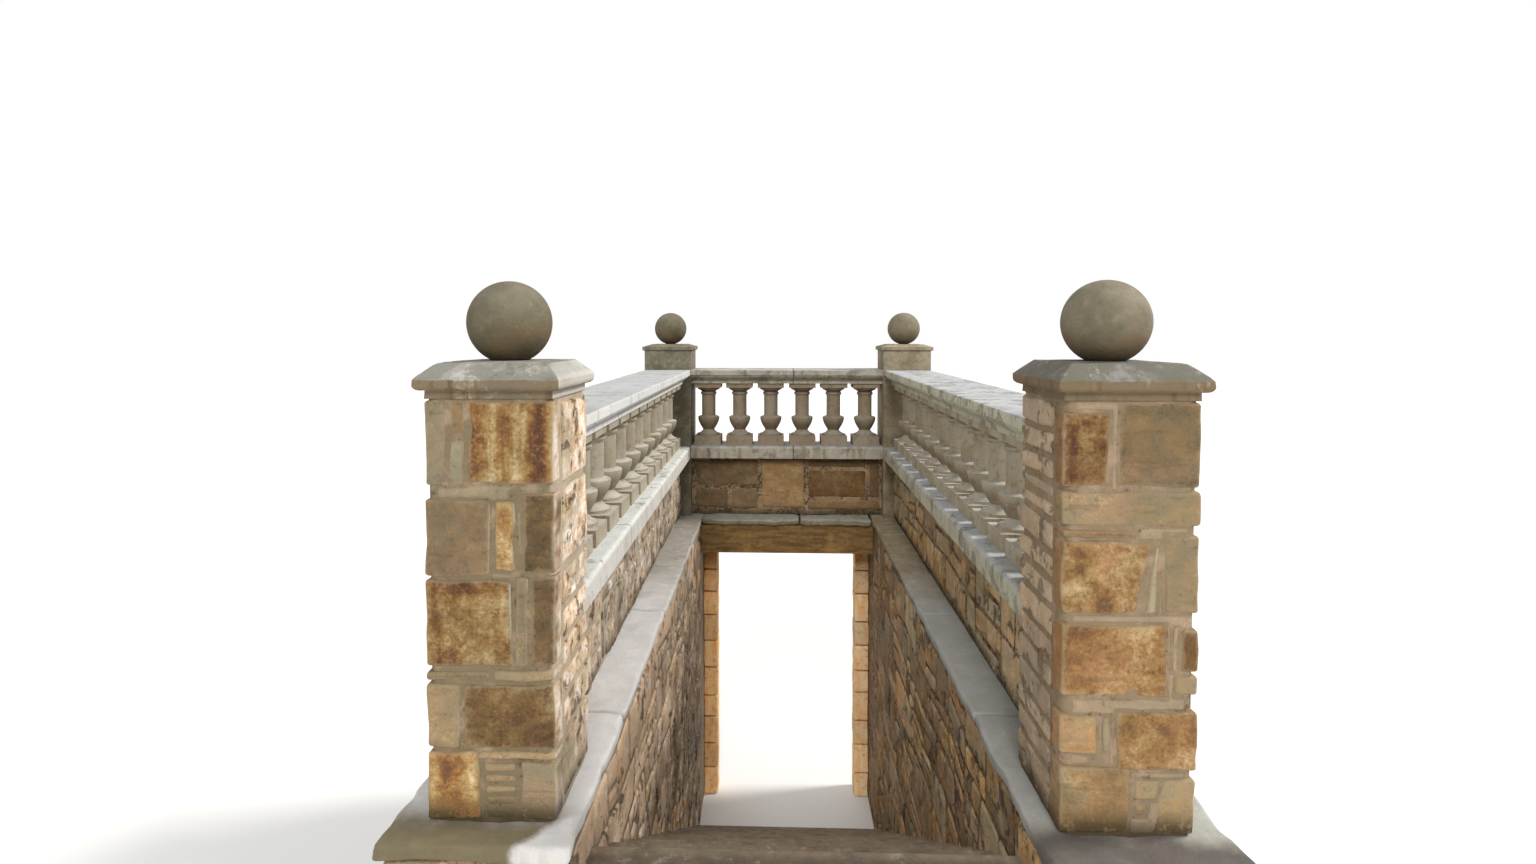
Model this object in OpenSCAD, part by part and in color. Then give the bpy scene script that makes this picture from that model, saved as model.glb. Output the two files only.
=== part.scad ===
// Stone balustrade round a sunken stair: two large front piers with ball finials, two smaller rear
// piers, three level runs of vase balusters on dwarf walls, a ledge of slabs at terrace level, and
// below it the retaining walls, the flight of steps and the doorway at its foot.
// +X runs across the opening, +Y from the front piers to the rear run, +Z up.
// The origin is at the middle of the footprint, on the floor at the foot of the stair.

/* [Opening] */
// Clear width between the two front piers
opening_w = 1400; // [1200:10:2000]
// From the front face of the front piers to the front edge of the rear rails
well_length = 3680; // [3400:10:4400]

/* [Front piers] */
// Side of the square shaft
front_pier_w = 375; // [330:5:450]
// Height of the shaft above the ledge
front_shaft_h = 1205; // [1150:5:1400]
// How far the edge of the cap stands out from the shaft
front_cap_proj = 22; // [18:1:50]
// Height of the recessed bed under the edge of the cap
front_cap_bed_h = 22; // [12:1:40]
// Height of the edge of the cap
front_cap_edge_h = 35; // [24:1:50]
// Radius of the rounded lower side of that edge
front_cap_edge_r = 18; // [6:1:18]
// Height of the sloping top of the cap
front_cap_slope_h = 46; // [25:1:80]
// How far the sloping top runs in from the widest edge
front_cap_slope_run = 52; // [35:1:75]
// Diameter of the ball finial
front_ball_d = 250; // [200:2:270]
// Depth of the flat seat cut from the foot of the ball
front_ball_seat = 12; // [4:1:20]

/* [Rear piers] */
// Side of the square shaft
rear_pier_w = 350; // [310:5:400]
// Height of the shaft above the ledge
rear_shaft_h = 1256; // [1180:2:1400]
// How far the cap stands out from the shaft
rear_cap_proj = 15; // [12:1:45]
// Height of the straight edge of the cap
rear_cap_edge_h = 28; // [18:1:50]
// Height of the sloping top of the cap
rear_cap_slope_h = 20; // [10:1:50]
// How far the sloping top runs in from the edge
rear_cap_slope_run = 65; // [40:1:80]
// Diameter of the ball finial
rear_ball_d = 244; // [180:2:260]
// Depth of the flat seat cut from the foot of the ball
rear_ball_seat = 3; // [2:1:20]

/* [Rails] */
// Width of the top rail and of the bottom rail
rail_w = 340; // [300:5:400]
// Set-back of the rails' inner edge from the inner face of the front piers
rail_setback = 30; // [10:1:60]
// Height of the dwarf wall, from the ledge to the bottom rail
dwarf_wall_h = 440; // [300:5:600]
// Height of the bottom rail
bottom_rail_h = 90; // [70:1:120]
// Radius of the bottom rail's upper edges
bottom_rail_r = 18; // [5:1:30]
// Height of the top rail
top_rail_h = 105; // [90:1:140]
// Height of the square edge at the top of the top rail
fascia_h = 40; // [30:1:60]
// Width of the bed that lies on the balusters
rail_bed_w = 226; // [200:2:260]
// Width of the top rail under its square edge
rail_neck_w = 318; // [270:2:330]

/* [Balusters] */
// Height of one baluster
baluster_h = 475; // [400:5:600]
// Side of the square plinth and of the square abacus
plinth_w = 200; // [150:2:210]
// Height of the plinth
plinth_h = 70; // [50:1:90]
// Height of the abacus
abacus_h = 35; // [20:1:45]
// Greatest diameter of the belly
belly_d = 166; // [130:2:190]
// Diameter of the waist under the belly
waist_d = 88; // [60:2:110]
// Diameter of the column above the belly
column_d = 106; // [70:2:120]
// Balusters in each side run
side_count = 13; // [8:1:14]
// Balusters in the rear run
rear_count = 6; // [3:1:6]

/* [Walls and ledge] */
// Thickness of the slabs of the ledge
ledge_t = 50; // [35:1:80]
// How far the ledge reaches into the opening from the inner face of the front piers
ledge_inner_proj = 65; // [40:1:100]
// How far the ledge stands out in front of the front piers
ledge_front_proj = 112; // [60:1:160]
// How far the ledge stands out beyond the widest pier on the outside
ledge_outer_proj = 105; // [60:1:160]
// Set-back of the retaining walls under the ledge, on the side of the opening
wall_inner_setback = 18; // [10:1:40]
// Set-back of the retaining walls under the ledge, on the outside
wall_outer_setback = 32; // [10:1:60]
// Set-back of the dwarf walls behind the inner edge of the rails
dwarf_setback = 80; // [40:1:110]
// Thickness of the dwarf walls
dwarf_wall_t = 210; // [150:5:240]

/* [Doorway] */
// Clear width of the doorway
door_w = 1080; // [800:10:1140]
// Thickness of the jambs, which stand at the rear of the passage
jamb_t = 180; // [120:5:400]
// Height of the lintel
lintel_h = 207; // [150:1:260]

/* [Steps] */
// Height of one riser
rise = 177; // [160:1:190]
// Depth of one tread, from nosing to nosing
going = 281; // [240:1:295]
// How far each nosing stands out over the riser below it
nosing = 18; // [0:1:30]
// Height of the nosing's front edge
nosing_h = 55; // [40:1:75]
// Depth of stone under the inner corner of each step
step_throat = 80; // [50:1:110]

/* [Hidden] */

STEP_COUNT = 12;
CURVE_FN = 96;

// Profile of the vase: levels as shares of its height, radii as shares of the plinth's width
FOOT_LEVEL = 0.035;
WAIST_LEVEL = 0.12;
BELLY_LEVEL = 0.375;
SHOULDER_LEVEL = 0.41;
RING_LEVELS = [0.85, 0.9];
FLARE_LEVEL = 0.965;
FOOT_SHARE = 0.42;
FLARE_SHARE = 0.43;
// Proud edge of the foot, and how far the ring and its rounded corners stand out from the column
FOOT_LIP = 8;
RING_PROJ = 9;
RING_ROUND = 3;

// Top rail: upright edge of its bed, groove under its square edge, radius of its upper corners
RAIL_BED_H = 14;
RAIL_GROOVE_H = 7;
RAIL_EDGE_R = 6;

// How far the front caps' bed lies inside the shaft, and how far the rear caps' foot lies outside it
FRONT_BED_INSET = 3;
REAR_FOOT_PROJ = 8;
REAR_FOOT_H = 6;

// Levels, from the floor at the foot of the stair
terrace_z = (STEP_COUNT + 1) * rise;
wall_top_z = terrace_z - ledge_t;
lintel_z = wall_top_z - lintel_h;
bottom_rail_z = terrace_z + dwarf_wall_h;
baluster_z = bottom_rail_z + bottom_rail_h;
top_rail_z = baluster_z + baluster_h;
front_cap_z = terrace_z + front_shaft_h;
front_ball_z = front_cap_z + front_cap_bed_h + front_cap_edge_h + front_cap_slope_h;
rear_cap_z = terrace_z + rear_shaft_h;
rear_ball_z = rear_cap_z + rear_cap_edge_h + rear_cap_slope_h;

// Distances from the middle plane of the opening
pier_in = opening_w / 2;
pier_mid = pier_in + front_pier_w / 2;
rail_in = pier_in + rail_setback;
rail_mid = rail_in + rail_w / 2;
rear_pier_in = rail_mid - rear_pier_w / 2;
rear_pier_out = rail_mid + rear_pier_w / 2;
ledge_in = pier_in - ledge_inner_proj;
ledge_out = max(pier_in + front_pier_w, rear_pier_out) + ledge_outer_proj;
wall_in = ledge_in + wall_inner_setback;
wall_out = ledge_out - wall_outer_setback;
dwarf_in = rail_in + dwarf_setback;
dwarf_out = dwarf_in + dwarf_wall_t;

// Distances along the stair, from the front face of the front piers
ledge_front_y = -ledge_front_proj;
wall_front_y = ledge_front_y + wall_outer_setback;
run_front_y = front_pier_w;
run_rear_y = well_length;
rear_ledge_y = well_length - (rail_in - ledge_in);
rear_wall_y = rear_ledge_y + wall_inner_setback;
rear_mid_y = well_length + rail_w / 2;
rear_pier_y = rear_mid_y - rear_pier_w / 2;
ledge_rear_y = rear_mid_y + rear_pier_w / 2 + ledge_outer_proj;
wall_rear_y = ledge_rear_y - wall_outer_setback;
footprint_mid_y = (ledge_front_y + ledge_rear_y) / 2;

// Steps: the first tread is level with the front edge of the ledge
function nosing_y(k) = ledge_front_y + k * going;
function tread_z(k) = terrace_z - k * rise;
function riser_y(k) = nosing_y(k) - nosing;

// Points on a curve that leaves a and reaches b flat in radius, as an S
function s_curve(a, b, n) = [
    for (i = [0:n]) let (t = i / n) [a[0] + (b[0] - a[0]) * (1 - cos(180 * t)) / 2, a[1] + (b[1] - a[1]) * t]
];
// Quarter wave from a to b, steep at a and flat in radius at b
function bulge(a, b, n) = [
    for (i = [0:n]) let (t = i / n) [a[0] + (b[0] - a[0]) * sin(90 * t), a[1] + (b[1] - a[1]) * t]
];
// Quarter wave from a to b, flat in radius at a and steep at b
function hollow(a, b, n) = [
    for (i = [0:n]) let (t = i / n) [a[0] + (b[0] - a[0]) * (1 - cos(90 * t)), a[1] + (b[1] - a[1]) * t]
];
function arc(c, r, from, to, n) = [
    for (i = [0:n]) let (a = from + (to - from) * i / n) [c[0] + r * cos(a), c[1] + r * sin(a)]
];
// Closed outline from its right half, listed from the foot to the top
function both_sides(half) = concat(half, [for (i = [len(half) - 1:-1:0]) [-half[i][0], half[i][1]]]);

module in_frame() {
    translate([0, -footprint_mid_y, 0]) children();
}

// Shows its children on the left or on the right of the opening
module on_side(left) {
    in_frame() mirror([left ? 1 : 0, 0, 0]) children();
}

module block(x, y, z) {
    translate([x[0], y[0], z[0]]) cube([x[1] - x[0], y[1] - y[0], z[1] - z[0]]);
}

// Outline carried along Y from y0 to y1
module along_y(y0, y1) {
    translate([0, y1, 0]) rotate([90, 0, 0]) linear_extrude(height = y1 - y0) children();
}

// Outline carried along X from x0 to x1
module along_x(x0, x1) {
    translate([x0, 0, 0]) rotate([90, 0, 90]) linear_extrude(height = x1 - x0) children();
}

// Square moulded block: the same outline on all four sides, mitred at the corners
module square_moulding(half, reach) {
    intersection() {
        along_y(-reach, reach) polygon(both_sides(half));
        along_x(-reach, reach) polygon(both_sides(half));
    }
}

module side_wall() {
    block([wall_in, wall_out], [wall_front_y, wall_rear_y], [0, wall_top_z]);
}

module door_jamb() {
    block([door_w / 2, wall_in], [wall_rear_y - jamb_t, wall_rear_y], [0, lintel_z]);
}

module lintel_shape() {
    block([-wall_in, wall_in], [rear_wall_y, wall_rear_y], [lintel_z, wall_top_z]);
}

// Masonry under the steps, sloping along their soffits down to the floor
module stair_core_shape() {
    slope = rise / going;
    foot_y = riser_y(STEP_COUNT) - step_throat / slope;
    top_z = tread_z(1) - step_throat - (wall_front_y - riser_y(0)) * slope;
    along_x(-wall_in, wall_in) polygon([[wall_front_y, 0], [foot_y, 0], [wall_front_y, top_z]]);
}

// Step k below the terrace: tread, projecting nosing, riser and a soffit along the slope
module step(k) {
    back_y = max(riser_y(k - 1), wall_front_y);
    soffit_z = tread_z(k) - rise - step_throat;
    back_soffit_z = soffit_z + (riser_y(k) - back_y) * rise / going;
    intersection() {
        along_x(-wall_in, wall_in) polygon([
            [back_y, tread_z(k)],
            [nosing_y(k), tread_z(k)],
            [nosing_y(k), tread_z(k) - nosing_h],
            [riser_y(k), tread_z(k) - nosing_h],
            [riser_y(k), soffit_z],
            [back_y, back_soffit_z]
        ]);
        block([-wall_in - 1, wall_in + 1], [back_y - 1, nosing_y(k) + 1], [0, tread_z(k) + 1]);
    }
}

module ledge_side() {
    block([ledge_in, ledge_out], [ledge_front_y, ledge_rear_y], [wall_top_z, terrace_z]);
}

module ledge_rear_shape() {
    block([-ledge_in, ledge_in], [rear_ledge_y, ledge_rear_y], [wall_top_z, terrace_z]);
}

module dwarf_wall_side() {
    block([dwarf_in, dwarf_out], [run_front_y, rear_pier_y], [terrace_z, bottom_rail_z]);
}

module dwarf_wall_rear_shape() {
    dwarf_y = well_length + dwarf_setback;
    block([-rear_pier_in, rear_pier_in], [dwarf_y, dwarf_y + dwarf_wall_t], [terrace_z, bottom_rail_z]);
}

module bottom_rail_outline() {
    half = rail_w / 2;
    polygon(both_sides(concat(
        [[half, 0]],
        arc([half - bottom_rail_r, bottom_rail_h - bottom_rail_r], bottom_rail_r, 0, 90, 4)
    )));
}

module top_rail_outline() {
    half = rail_w / 2;
    bed = rail_bed_w / 2;
    neck = rail_neck_w / 2;
    fascia_z = top_rail_h - fascia_h;
    polygon(both_sides(concat(
        [[bed, 0]],
        s_curve([bed, RAIL_BED_H], [neck, fascia_z - RAIL_GROOVE_H], 8),
        [[neck, fascia_z], [half, fascia_z]],
        arc([half - RAIL_EDGE_R, top_rail_h - RAIL_EDGE_R], RAIL_EDGE_R, 0, 90, 3)
    )));
}

module rail_side(z) {
    translate([rail_mid, 0, z]) along_y(run_front_y, rear_pier_y) children();
}

module rail_rear(z) {
    translate([0, rear_mid_y, z]) along_x(-rear_pier_in, rear_pier_in) children();
}

// Turned vase between the plinth and the abacus, standing on z = 0: foot, waist, bowl with a
// rounded shoulder, straight column, ring and flare
module vase(h) {
    belly_r = belly_d / 2;
    waist_r = waist_d / 2;
    column_r = column_d / 2;
    ring_r = column_r + RING_PROJ;
    foot_r = plinth_w * FOOT_SHARE;
    flare_r = plinth_w * FLARE_SHARE;
    waist = [waist_r, h * WAIST_LEVEL];
    belly = [belly_r, h * BELLY_LEVEL];
    foot_z = h * FOOT_LEVEL;
    ring_z = RING_LEVELS * h;
    rotate_extrude($fn = CURVE_FN) polygon(concat(
        [[0, 0], [foot_r, 0], [foot_r, foot_z]],
        bulge([foot_r - FOOT_LIP, foot_z], waist, 4),
        [for (i = [1:8]) bulge(waist, belly, 8)[i]],
        [for (i = [1:6]) hollow(belly, [column_r, h * SHOULDER_LEVEL], 6)[i]],
        [[column_r, ring_z[0]]],
        [[ring_r - RING_ROUND, ring_z[0]], [ring_r, (ring_z[0] + ring_z[1]) / 2]],
        [[ring_r - RING_ROUND, ring_z[1]]],
        hollow([column_r, ring_z[1]], [flare_r, h * FLARE_LEVEL], 4),
        [[flare_r, h], [0, h]]
    ));
}

module baluster() {
    vase_h = baluster_h - plinth_h - abacus_h;
    half = plinth_w / 2;
    block([-half, half], [-half, half], [0, plinth_h]);
    translate([0, 0, plinth_h]) vase(vase_h);
    block([-half, half], [-half, half], [baluster_h - abacus_h, baluster_h]);
}

module balusters_side() {
    bay = (rear_pier_y - run_front_y) / side_count;
    for (i = [0:side_count - 1])
        translate([rail_mid, run_front_y + bay * (i + 0.5), baluster_z]) baluster();
}

module balusters_rear_shape() {
    bay = 2 * rear_pier_in / rear_count;
    for (i = [0:rear_count - 1])
        translate([-rear_pier_in + bay * (i + 0.5), rear_mid_y, baluster_z]) baluster();
}

module front_pier() {
    block([pier_in, pier_in + front_pier_w], [0, front_pier_w], [terrace_z, front_cap_z]);
}

module rear_pier() {
    block([rear_pier_in, rear_pier_out], [rear_pier_y, rear_pier_y + rear_pier_w], [terrace_z, rear_cap_z]);
}

// Recessed bed, edge with a rounded lower side, sloping top
module front_cap() {
    shaft = front_pier_w / 2;
    bed = shaft - FRONT_BED_INSET;
    edge = shaft + front_cap_proj;
    top_z = front_cap_bed_h + front_cap_edge_h;
    translate([pier_mid, front_pier_w / 2, front_cap_z]) square_moulding(concat(
        [[bed, 0], [bed, front_cap_bed_h]],
        arc([edge - front_cap_edge_r, front_cap_bed_h + front_cap_edge_r], front_cap_edge_r, -90, 0, 6),
        [[edge, top_z], [edge - front_cap_slope_run, top_z + front_cap_slope_h]]
    ), edge + 1);
}

module rear_cap() {
    edge = rear_pier_w / 2 + rear_cap_proj;
    translate([rail_mid, rear_mid_y, rear_cap_z]) square_moulding([
        [rear_pier_w / 2 + REAR_FOOT_PROJ, 0],
        [edge, REAR_FOOT_H],
        [edge, rear_cap_edge_h],
        [edge - rear_cap_slope_run, rear_cap_edge_h + rear_cap_slope_h]
    ], edge + 1);
}

// Ball of diameter d standing on z = 0 with a flat seat cut from its foot
module ball(d, seat) {
    intersection() {
        translate([0, 0, d / 2 - seat]) sphere(d = d, $fn = CURVE_FN);
        block([-d, d], [-d, d], [0, 2 * d]);
    }
}

module front_ball() {
    translate([pier_mid, front_pier_w / 2, front_ball_z]) ball(front_ball_d, front_ball_seat);
}

module rear_ball() {
    translate([rail_mid, rear_mid_y, rear_ball_z]) ball(rear_ball_d, rear_ball_seat);
}

module side_wall_left() { color("tan") on_side(true) side_wall(); }
module side_wall_right() { color("tan") on_side(false) side_wall(); }
module door_jamb_left() { color("peru") on_side(true) door_jamb(); }
module door_jamb_right() { color("peru") on_side(false) door_jamb(); }
module lintel() { color("sienna") in_frame() lintel_shape(); }
module stair_core() { color("tan") in_frame() stair_core_shape(); }
module step_01() { color("silver") in_frame() step(1); }
module step_02() { color("silver") in_frame() step(2); }
module step_03() { color("silver") in_frame() step(3); }
module step_04() { color("silver") in_frame() step(4); }
module step_05() { color("silver") in_frame() step(5); }
module step_06() { color("silver") in_frame() step(6); }
module step_07() { color("silver") in_frame() step(7); }
module step_08() { color("silver") in_frame() step(8); }
module step_09() { color("silver") in_frame() step(9); }
module step_10() { color("silver") in_frame() step(10); }
module step_11() { color("silver") in_frame() step(11); }
module step_12() { color("silver") in_frame() step(12); }
module ledge_left() { color("lightgray") on_side(true) ledge_side(); }
module ledge_right() { color("lightgray") on_side(false) ledge_side(); }
module ledge_rear() { color("lightgray") in_frame() ledge_rear_shape(); }
module dwarf_wall_left() { color("tan") on_side(true) dwarf_wall_side(); }
module dwarf_wall_right() { color("tan") on_side(false) dwarf_wall_side(); }
module dwarf_wall_rear() { color("tan") in_frame() dwarf_wall_rear_shape(); }
module bottom_rail_left() { color("gainsboro") on_side(true) rail_side(bottom_rail_z) bottom_rail_outline(); }
module bottom_rail_right() { color("gainsboro") on_side(false) rail_side(bottom_rail_z) bottom_rail_outline(); }
module bottom_rail_rear() { color("gainsboro") in_frame() rail_rear(bottom_rail_z) bottom_rail_outline(); }
module balusters_left() { color("darkgray") on_side(true) balusters_side(); }
module balusters_right() { color("darkgray") on_side(false) balusters_side(); }
module balusters_rear() { color("darkgray") in_frame() balusters_rear_shape(); }
module top_rail_left() { color("gainsboro") on_side(true) rail_side(top_rail_z) top_rail_outline(); }
module top_rail_right() { color("gainsboro") on_side(false) rail_side(top_rail_z) top_rail_outline(); }
module top_rail_rear() { color("gainsboro") in_frame() rail_rear(top_rail_z) top_rail_outline(); }
module front_pier_left() { color("burlywood") on_side(true) front_pier(); }
module front_pier_right() { color("burlywood") on_side(false) front_pier(); }
module rear_pier_left() { color("gray") on_side(true) rear_pier(); }
module rear_pier_right() { color("gray") on_side(false) rear_pier(); }
module front_cap_left() { color("lightgray") on_side(true) front_cap(); }
module front_cap_right() { color("lightgray") on_side(false) front_cap(); }
module rear_cap_left() { color("darkgray") on_side(true) rear_cap(); }
module rear_cap_right() { color("darkgray") on_side(false) rear_cap(); }
module front_ball_left() { color("darkgray") on_side(true) front_ball(); }
module front_ball_right() { color("darkgray") on_side(false) front_ball(); }
module rear_ball_left() { color("darkgray") on_side(true) rear_ball(); }
module rear_ball_right() { color("darkgray") on_side(false) rear_ball(); }

side_wall_left();
side_wall_right();
door_jamb_left();
door_jamb_right();
lintel();
stair_core();
step_01();
step_02();
step_03();
step_04();
step_05();
step_06();
step_07();
step_08();
step_09();
step_10();
step_11();
step_12();
ledge_left();
ledge_right();
ledge_rear();
dwarf_wall_left();
dwarf_wall_right();
dwarf_wall_rear();
bottom_rail_left();
bottom_rail_right();
bottom_rail_rear();
balusters_left();
balusters_right();
balusters_rear();
top_rail_left();
top_rail_right();
top_rail_rear();
front_pier_left();
front_pier_right();
rear_pier_left();
rear_pier_right();
front_cap_left();
front_cap_right();
rear_cap_left();
rear_cap_right();
front_ball_left();
front_ball_right();
rear_ball_left();
rear_ball_right();
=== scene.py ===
"""Looks of the stone balustrade round a sunken stair: its masonry, slabs, light and camera."""

import math
from itertools import pairwise

import bmesh
import bpy
import numpy as np
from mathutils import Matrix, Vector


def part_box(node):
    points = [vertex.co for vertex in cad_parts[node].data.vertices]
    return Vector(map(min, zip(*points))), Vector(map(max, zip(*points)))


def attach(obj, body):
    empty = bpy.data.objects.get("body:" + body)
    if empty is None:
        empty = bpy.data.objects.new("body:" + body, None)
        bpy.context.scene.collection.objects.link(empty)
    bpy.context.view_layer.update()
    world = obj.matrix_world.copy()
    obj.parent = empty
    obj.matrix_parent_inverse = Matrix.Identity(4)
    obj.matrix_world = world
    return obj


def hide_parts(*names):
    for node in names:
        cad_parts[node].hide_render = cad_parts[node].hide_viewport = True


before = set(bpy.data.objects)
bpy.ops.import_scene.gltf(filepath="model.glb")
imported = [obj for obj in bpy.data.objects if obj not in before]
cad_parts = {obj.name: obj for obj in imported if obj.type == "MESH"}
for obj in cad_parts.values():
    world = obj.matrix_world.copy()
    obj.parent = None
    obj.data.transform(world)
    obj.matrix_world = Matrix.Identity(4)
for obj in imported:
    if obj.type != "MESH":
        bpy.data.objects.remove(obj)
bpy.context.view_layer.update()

# Sizes, in metres
MM = 0.001
JOINT = 0.013
STONE_RELIEF = 0.013
INNER_RELIEF = 0.016
STONE_ROUND = 0.013
STONE_ROUGH = 0.005
STONE_BEND = 0.004
STONE_GRAIN = 0.07
STONE_JITTER = 0.004
PILLOW_ROUND = 1.3 * STONE_ROUND
PILLOW_SINK = 0.004
PILLOW_WANDER = 0.004
SIDE_LIFT = 0.20
LOW_LIFT = 0.22
CORNER_LONG = 0.30
CORNER_SHORT = 0.18
BELOW_TREADS = 0.22
STAIR_HEAD_GAP = 0.02
JAMB_JOINT = 0.006
JAMB_ROUND = 0.009
PIER_DEPTH_OF_FRONT = 0.075
PIER_GRAIN = 0.06
PIER_MORTAR_INSET = 0.006
PIER_MORTAR_ROUND = 0.030
POINTING_SINK = 0.004
POINTING_RELIEF = 0.0035
POINTING_EDGE = 0.0025
POINTING_SOFT = 0.003
CAP_BED_SETBACK = 0.025
CAP_BED_HEIGHT = 0.022
CAP_EDGE_HEIGHT = 0.035
CAP_EDGE_ROUND = 0.018
CAP_SLOPE_RUN = 0.052
CAP_CORNER = 0.005
CAP_STEP = 0.007
CAP_WEAR = 0.003
CAP_ARRIS_WEAR = (0.0055, 0.004)
CAP_ARRIS_REACH = 0.009
SLAB_LENGTH = 0.78
SLAB_JOINT = 0.005
SLAB_ROUND = 0.019
SLAB_ROUGH = 0.004
SLAB_BEND = 0.010
RAIL_STONE = 0.92

# Least share of the relief by which a stone stands out, and the start of the random draws
STONE_STANDS = 0.45
SEED = 20

# Levels and faces read from the solids
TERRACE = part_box("ledge_left")[1].z
WALL_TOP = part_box("side_wall_left")[1].z
WALL_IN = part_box("side_wall_right")[0].x
WALL_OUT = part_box("side_wall_right")[1].x
WALL_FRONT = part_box("side_wall_left")[0].y
WALL_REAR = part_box("side_wall_left")[1].y
REAR_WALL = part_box("lintel")[0].y
NOSING_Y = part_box("step_01")[1].y
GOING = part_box("step_02")[1].y - NOSING_Y
PIER_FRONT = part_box("front_pier_left")[0].y
RAIL_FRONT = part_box("top_rail_left")[0].y


# Node graphs

class Wire:
    """One output of a node graph. Arithmetic on it adds Math nodes."""

    def __init__(self, paint, socket):
        self.paint = paint
        self.socket = socket

    def math(self, operation, first, second):
        return self.paint.node("ShaderNodeMath", {"operation": operation}, {0: first, 1: second})

    def __add__(self, other):
        return self.math("ADD", self, other)

    def __sub__(self, other):
        return self.math("SUBTRACT", self, other)

    def __rsub__(self, other):
        return self.math("SUBTRACT", other, self)

    def __mul__(self, other):
        return self.math("MULTIPLY", self, other)

    __radd__ = __add__
    __rmul__ = __mul__

    def swing(self, size):
        """Noise moved to lie about 0, times a size."""
        return (self - 0.5) * size

    def band(self, low, high):
        """0 up to low and 1 from high on, with a smooth step between; low may be the higher one."""
        if low > high:
            return 1 - self.band(high, low)
        inputs = {"Value": self, "From Min": low, "From Max": high}
        return self.paint.node("ShaderNodeMapRange", {"interpolation_type": "SMOOTHSTEP"}, inputs)


def light_of(colour):
    """A colour of 0 to 255 screen values as linear light; a wire stays as it is."""
    if isinstance(colour, Wire):
        return colour
    screen = np.array(colour) / 255
    linear = np.where(screen <= 0.04045, screen / 12.92, ((screen + 0.055) / 1.055) ** 2.4)
    return (*linear.tolist(), 1.0)


class Paint:
    """The node graph of one material, on the piece's own coordinates, and its tint so far."""

    def __init__(self, name):
        self.material = bpy.data.materials.new(name)
        self.material.use_nodes = True
        self.tree = self.material.node_tree
        self.tree.nodes.clear()
        self.place = self.node("ShaderNodeTexCoord", out="Object")
        self.x, self.y, self.z = self.split(self.place)
        normal = self.node("ShaderNodeNewGeometry", out="Normal")
        facing_x, self.facing_back, self.facing_up = self.split(normal)
        # Faces on the left half that turn towards +x, the side the key sun lights: the materials paint
        # sunlight there, and shade on the balusters
        self.painted_sun_side = facing_x.band(0.45, 0.85) * self.x.band(0.1, -0.1)
        self.tint = None

    def node(self, kind, settings=None, inputs=None, out=0):
        """Adds a node: its settings first, then the values or links of its sockets."""
        node = self.tree.nodes.new(kind)
        for key, value in (settings or {}).items():
            if key == "stops":
                self.set_stops(node.color_ramp, value)
            else:
                setattr(node, key, value)
        for key, value in (inputs or {}).items():
            if isinstance(value, Wire):
                self.tree.links.new(value.socket, node.inputs[key])
            elif isinstance(value, tuple):
                node.inputs[key].default_value = value[:len(node.inputs[key].default_value)]
            else:
                node.inputs[key].default_value = value
        return Wire(self, node.outputs[out]) if len(node.outputs) else None

    def set_stops(self, ramp, stops):
        while len(ramp.elements) < len(stops):
            ramp.elements.new(1.0)
        for element, (at, *colour) in zip(ramp.elements, stops):
            element.position = at
            element.color = light_of(colour)

    def split(self, vector):
        parts = self.tree.nodes.new("ShaderNodeSeparateXYZ")
        self.tree.links.new(vector.socket, parts.inputs[0])
        return [Wire(self, socket) for socket in parts.outputs]

    def attribute(self, name, out):
        return self.node("ShaderNodeAttribute", {"attribute_name": name}, None, out)

    def moved(self, offset):
        return self.node("ShaderNodeVectorMath", {"operation": "ADD"}, {0: self.place, 1: offset})

    def noise(self, scale, detail=3.0, place=None, roughness=0.55, distortion=0.0):
        """Noise on the piece's coordinates, on those moved by an offset, or on the wire given as place."""
        if isinstance(place, tuple):
            place = self.moved(place)
        inputs = {"Vector": place or self.place, "Scale": scale, "Detail": detail,
                  "Roughness": roughness, "Distortion": distortion}
        return self.node("ShaderNodeTexNoise", None, inputs)

    def noises(self, *layers):
        """Noises on the piece's coordinates, each from its scale, detail and roughness."""
        return [self.noise(scale, detail, None, roughness) for scale, detail, roughness in layers]

    def streaks(self, factors, detail, place=None, roughness=0.6, distortion=0.0):
        """Noise on coordinates that are stretched by three factors."""
        inputs = {0: place or self.place, 1: factors}
        stretched = self.node("ShaderNodeVectorMath", {"operation": "MULTIPLY"}, inputs)
        return self.noise(1.0, detail, stretched, roughness, distortion)

    def mix(self, share, first, second):
        inputs = {0: share, 6: light_of(first), 7: light_of(second)}
        return self.node("ShaderNodeMix", {"data_type": "RGBA"}, inputs, 2)

    def scaled(self, colour, factor):
        inputs = {0: light_of(colour), "Scale": factor}
        return self.node("ShaderNodeVectorMath", {"operation": "SCALE"}, inputs)

    def ramp(self, value, *stops):
        """A colour for each value, from stops of a place, red, green and blue."""
        return self.node("ShaderNodeValToRGB", {"stops": stops}, {0: value})

    def coat(self, share, colour):
        """Lays a share of a colour over the tint."""
        self.tint = self.mix(share, self.tint, colour)

    def shade(self, factor):
        """Makes the tint lighter or darker."""
        self.tint = self.scaled(self.tint, factor)

    def darker_foot(self, share, clear_from, full_to):
        """Darkens the foot of walls and piers: in full up to the second height over the ledge, not at all
        from the first height on.
        """
        foot = self.z.band(TERRACE + clear_from, TERRACE + full_to) * self.z.band(TERRACE - 0.02, TERRACE)
        self.coat(foot * share, (66, 56, 36))

    def finish(self, roughness, height, depth):
        """Joins the shader: tint, roughness and the bump of a height in metres."""
        bump = self.node("ShaderNodeBump", None, {"Strength": 1.0, "Distance": depth, "Height": height})
        shader = self.node("ShaderNodeBsdfPrincipled", None, {
            "Base Color": self.tint, "Roughness": roughness, "Normal": bump, "Specular IOR Level": 0.25,
        })
        self.node("ShaderNodeOutputMaterial", None, {"Surface": shader})
        return self.material


# Materials. Colours are 0 to 255 screen values.

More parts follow.
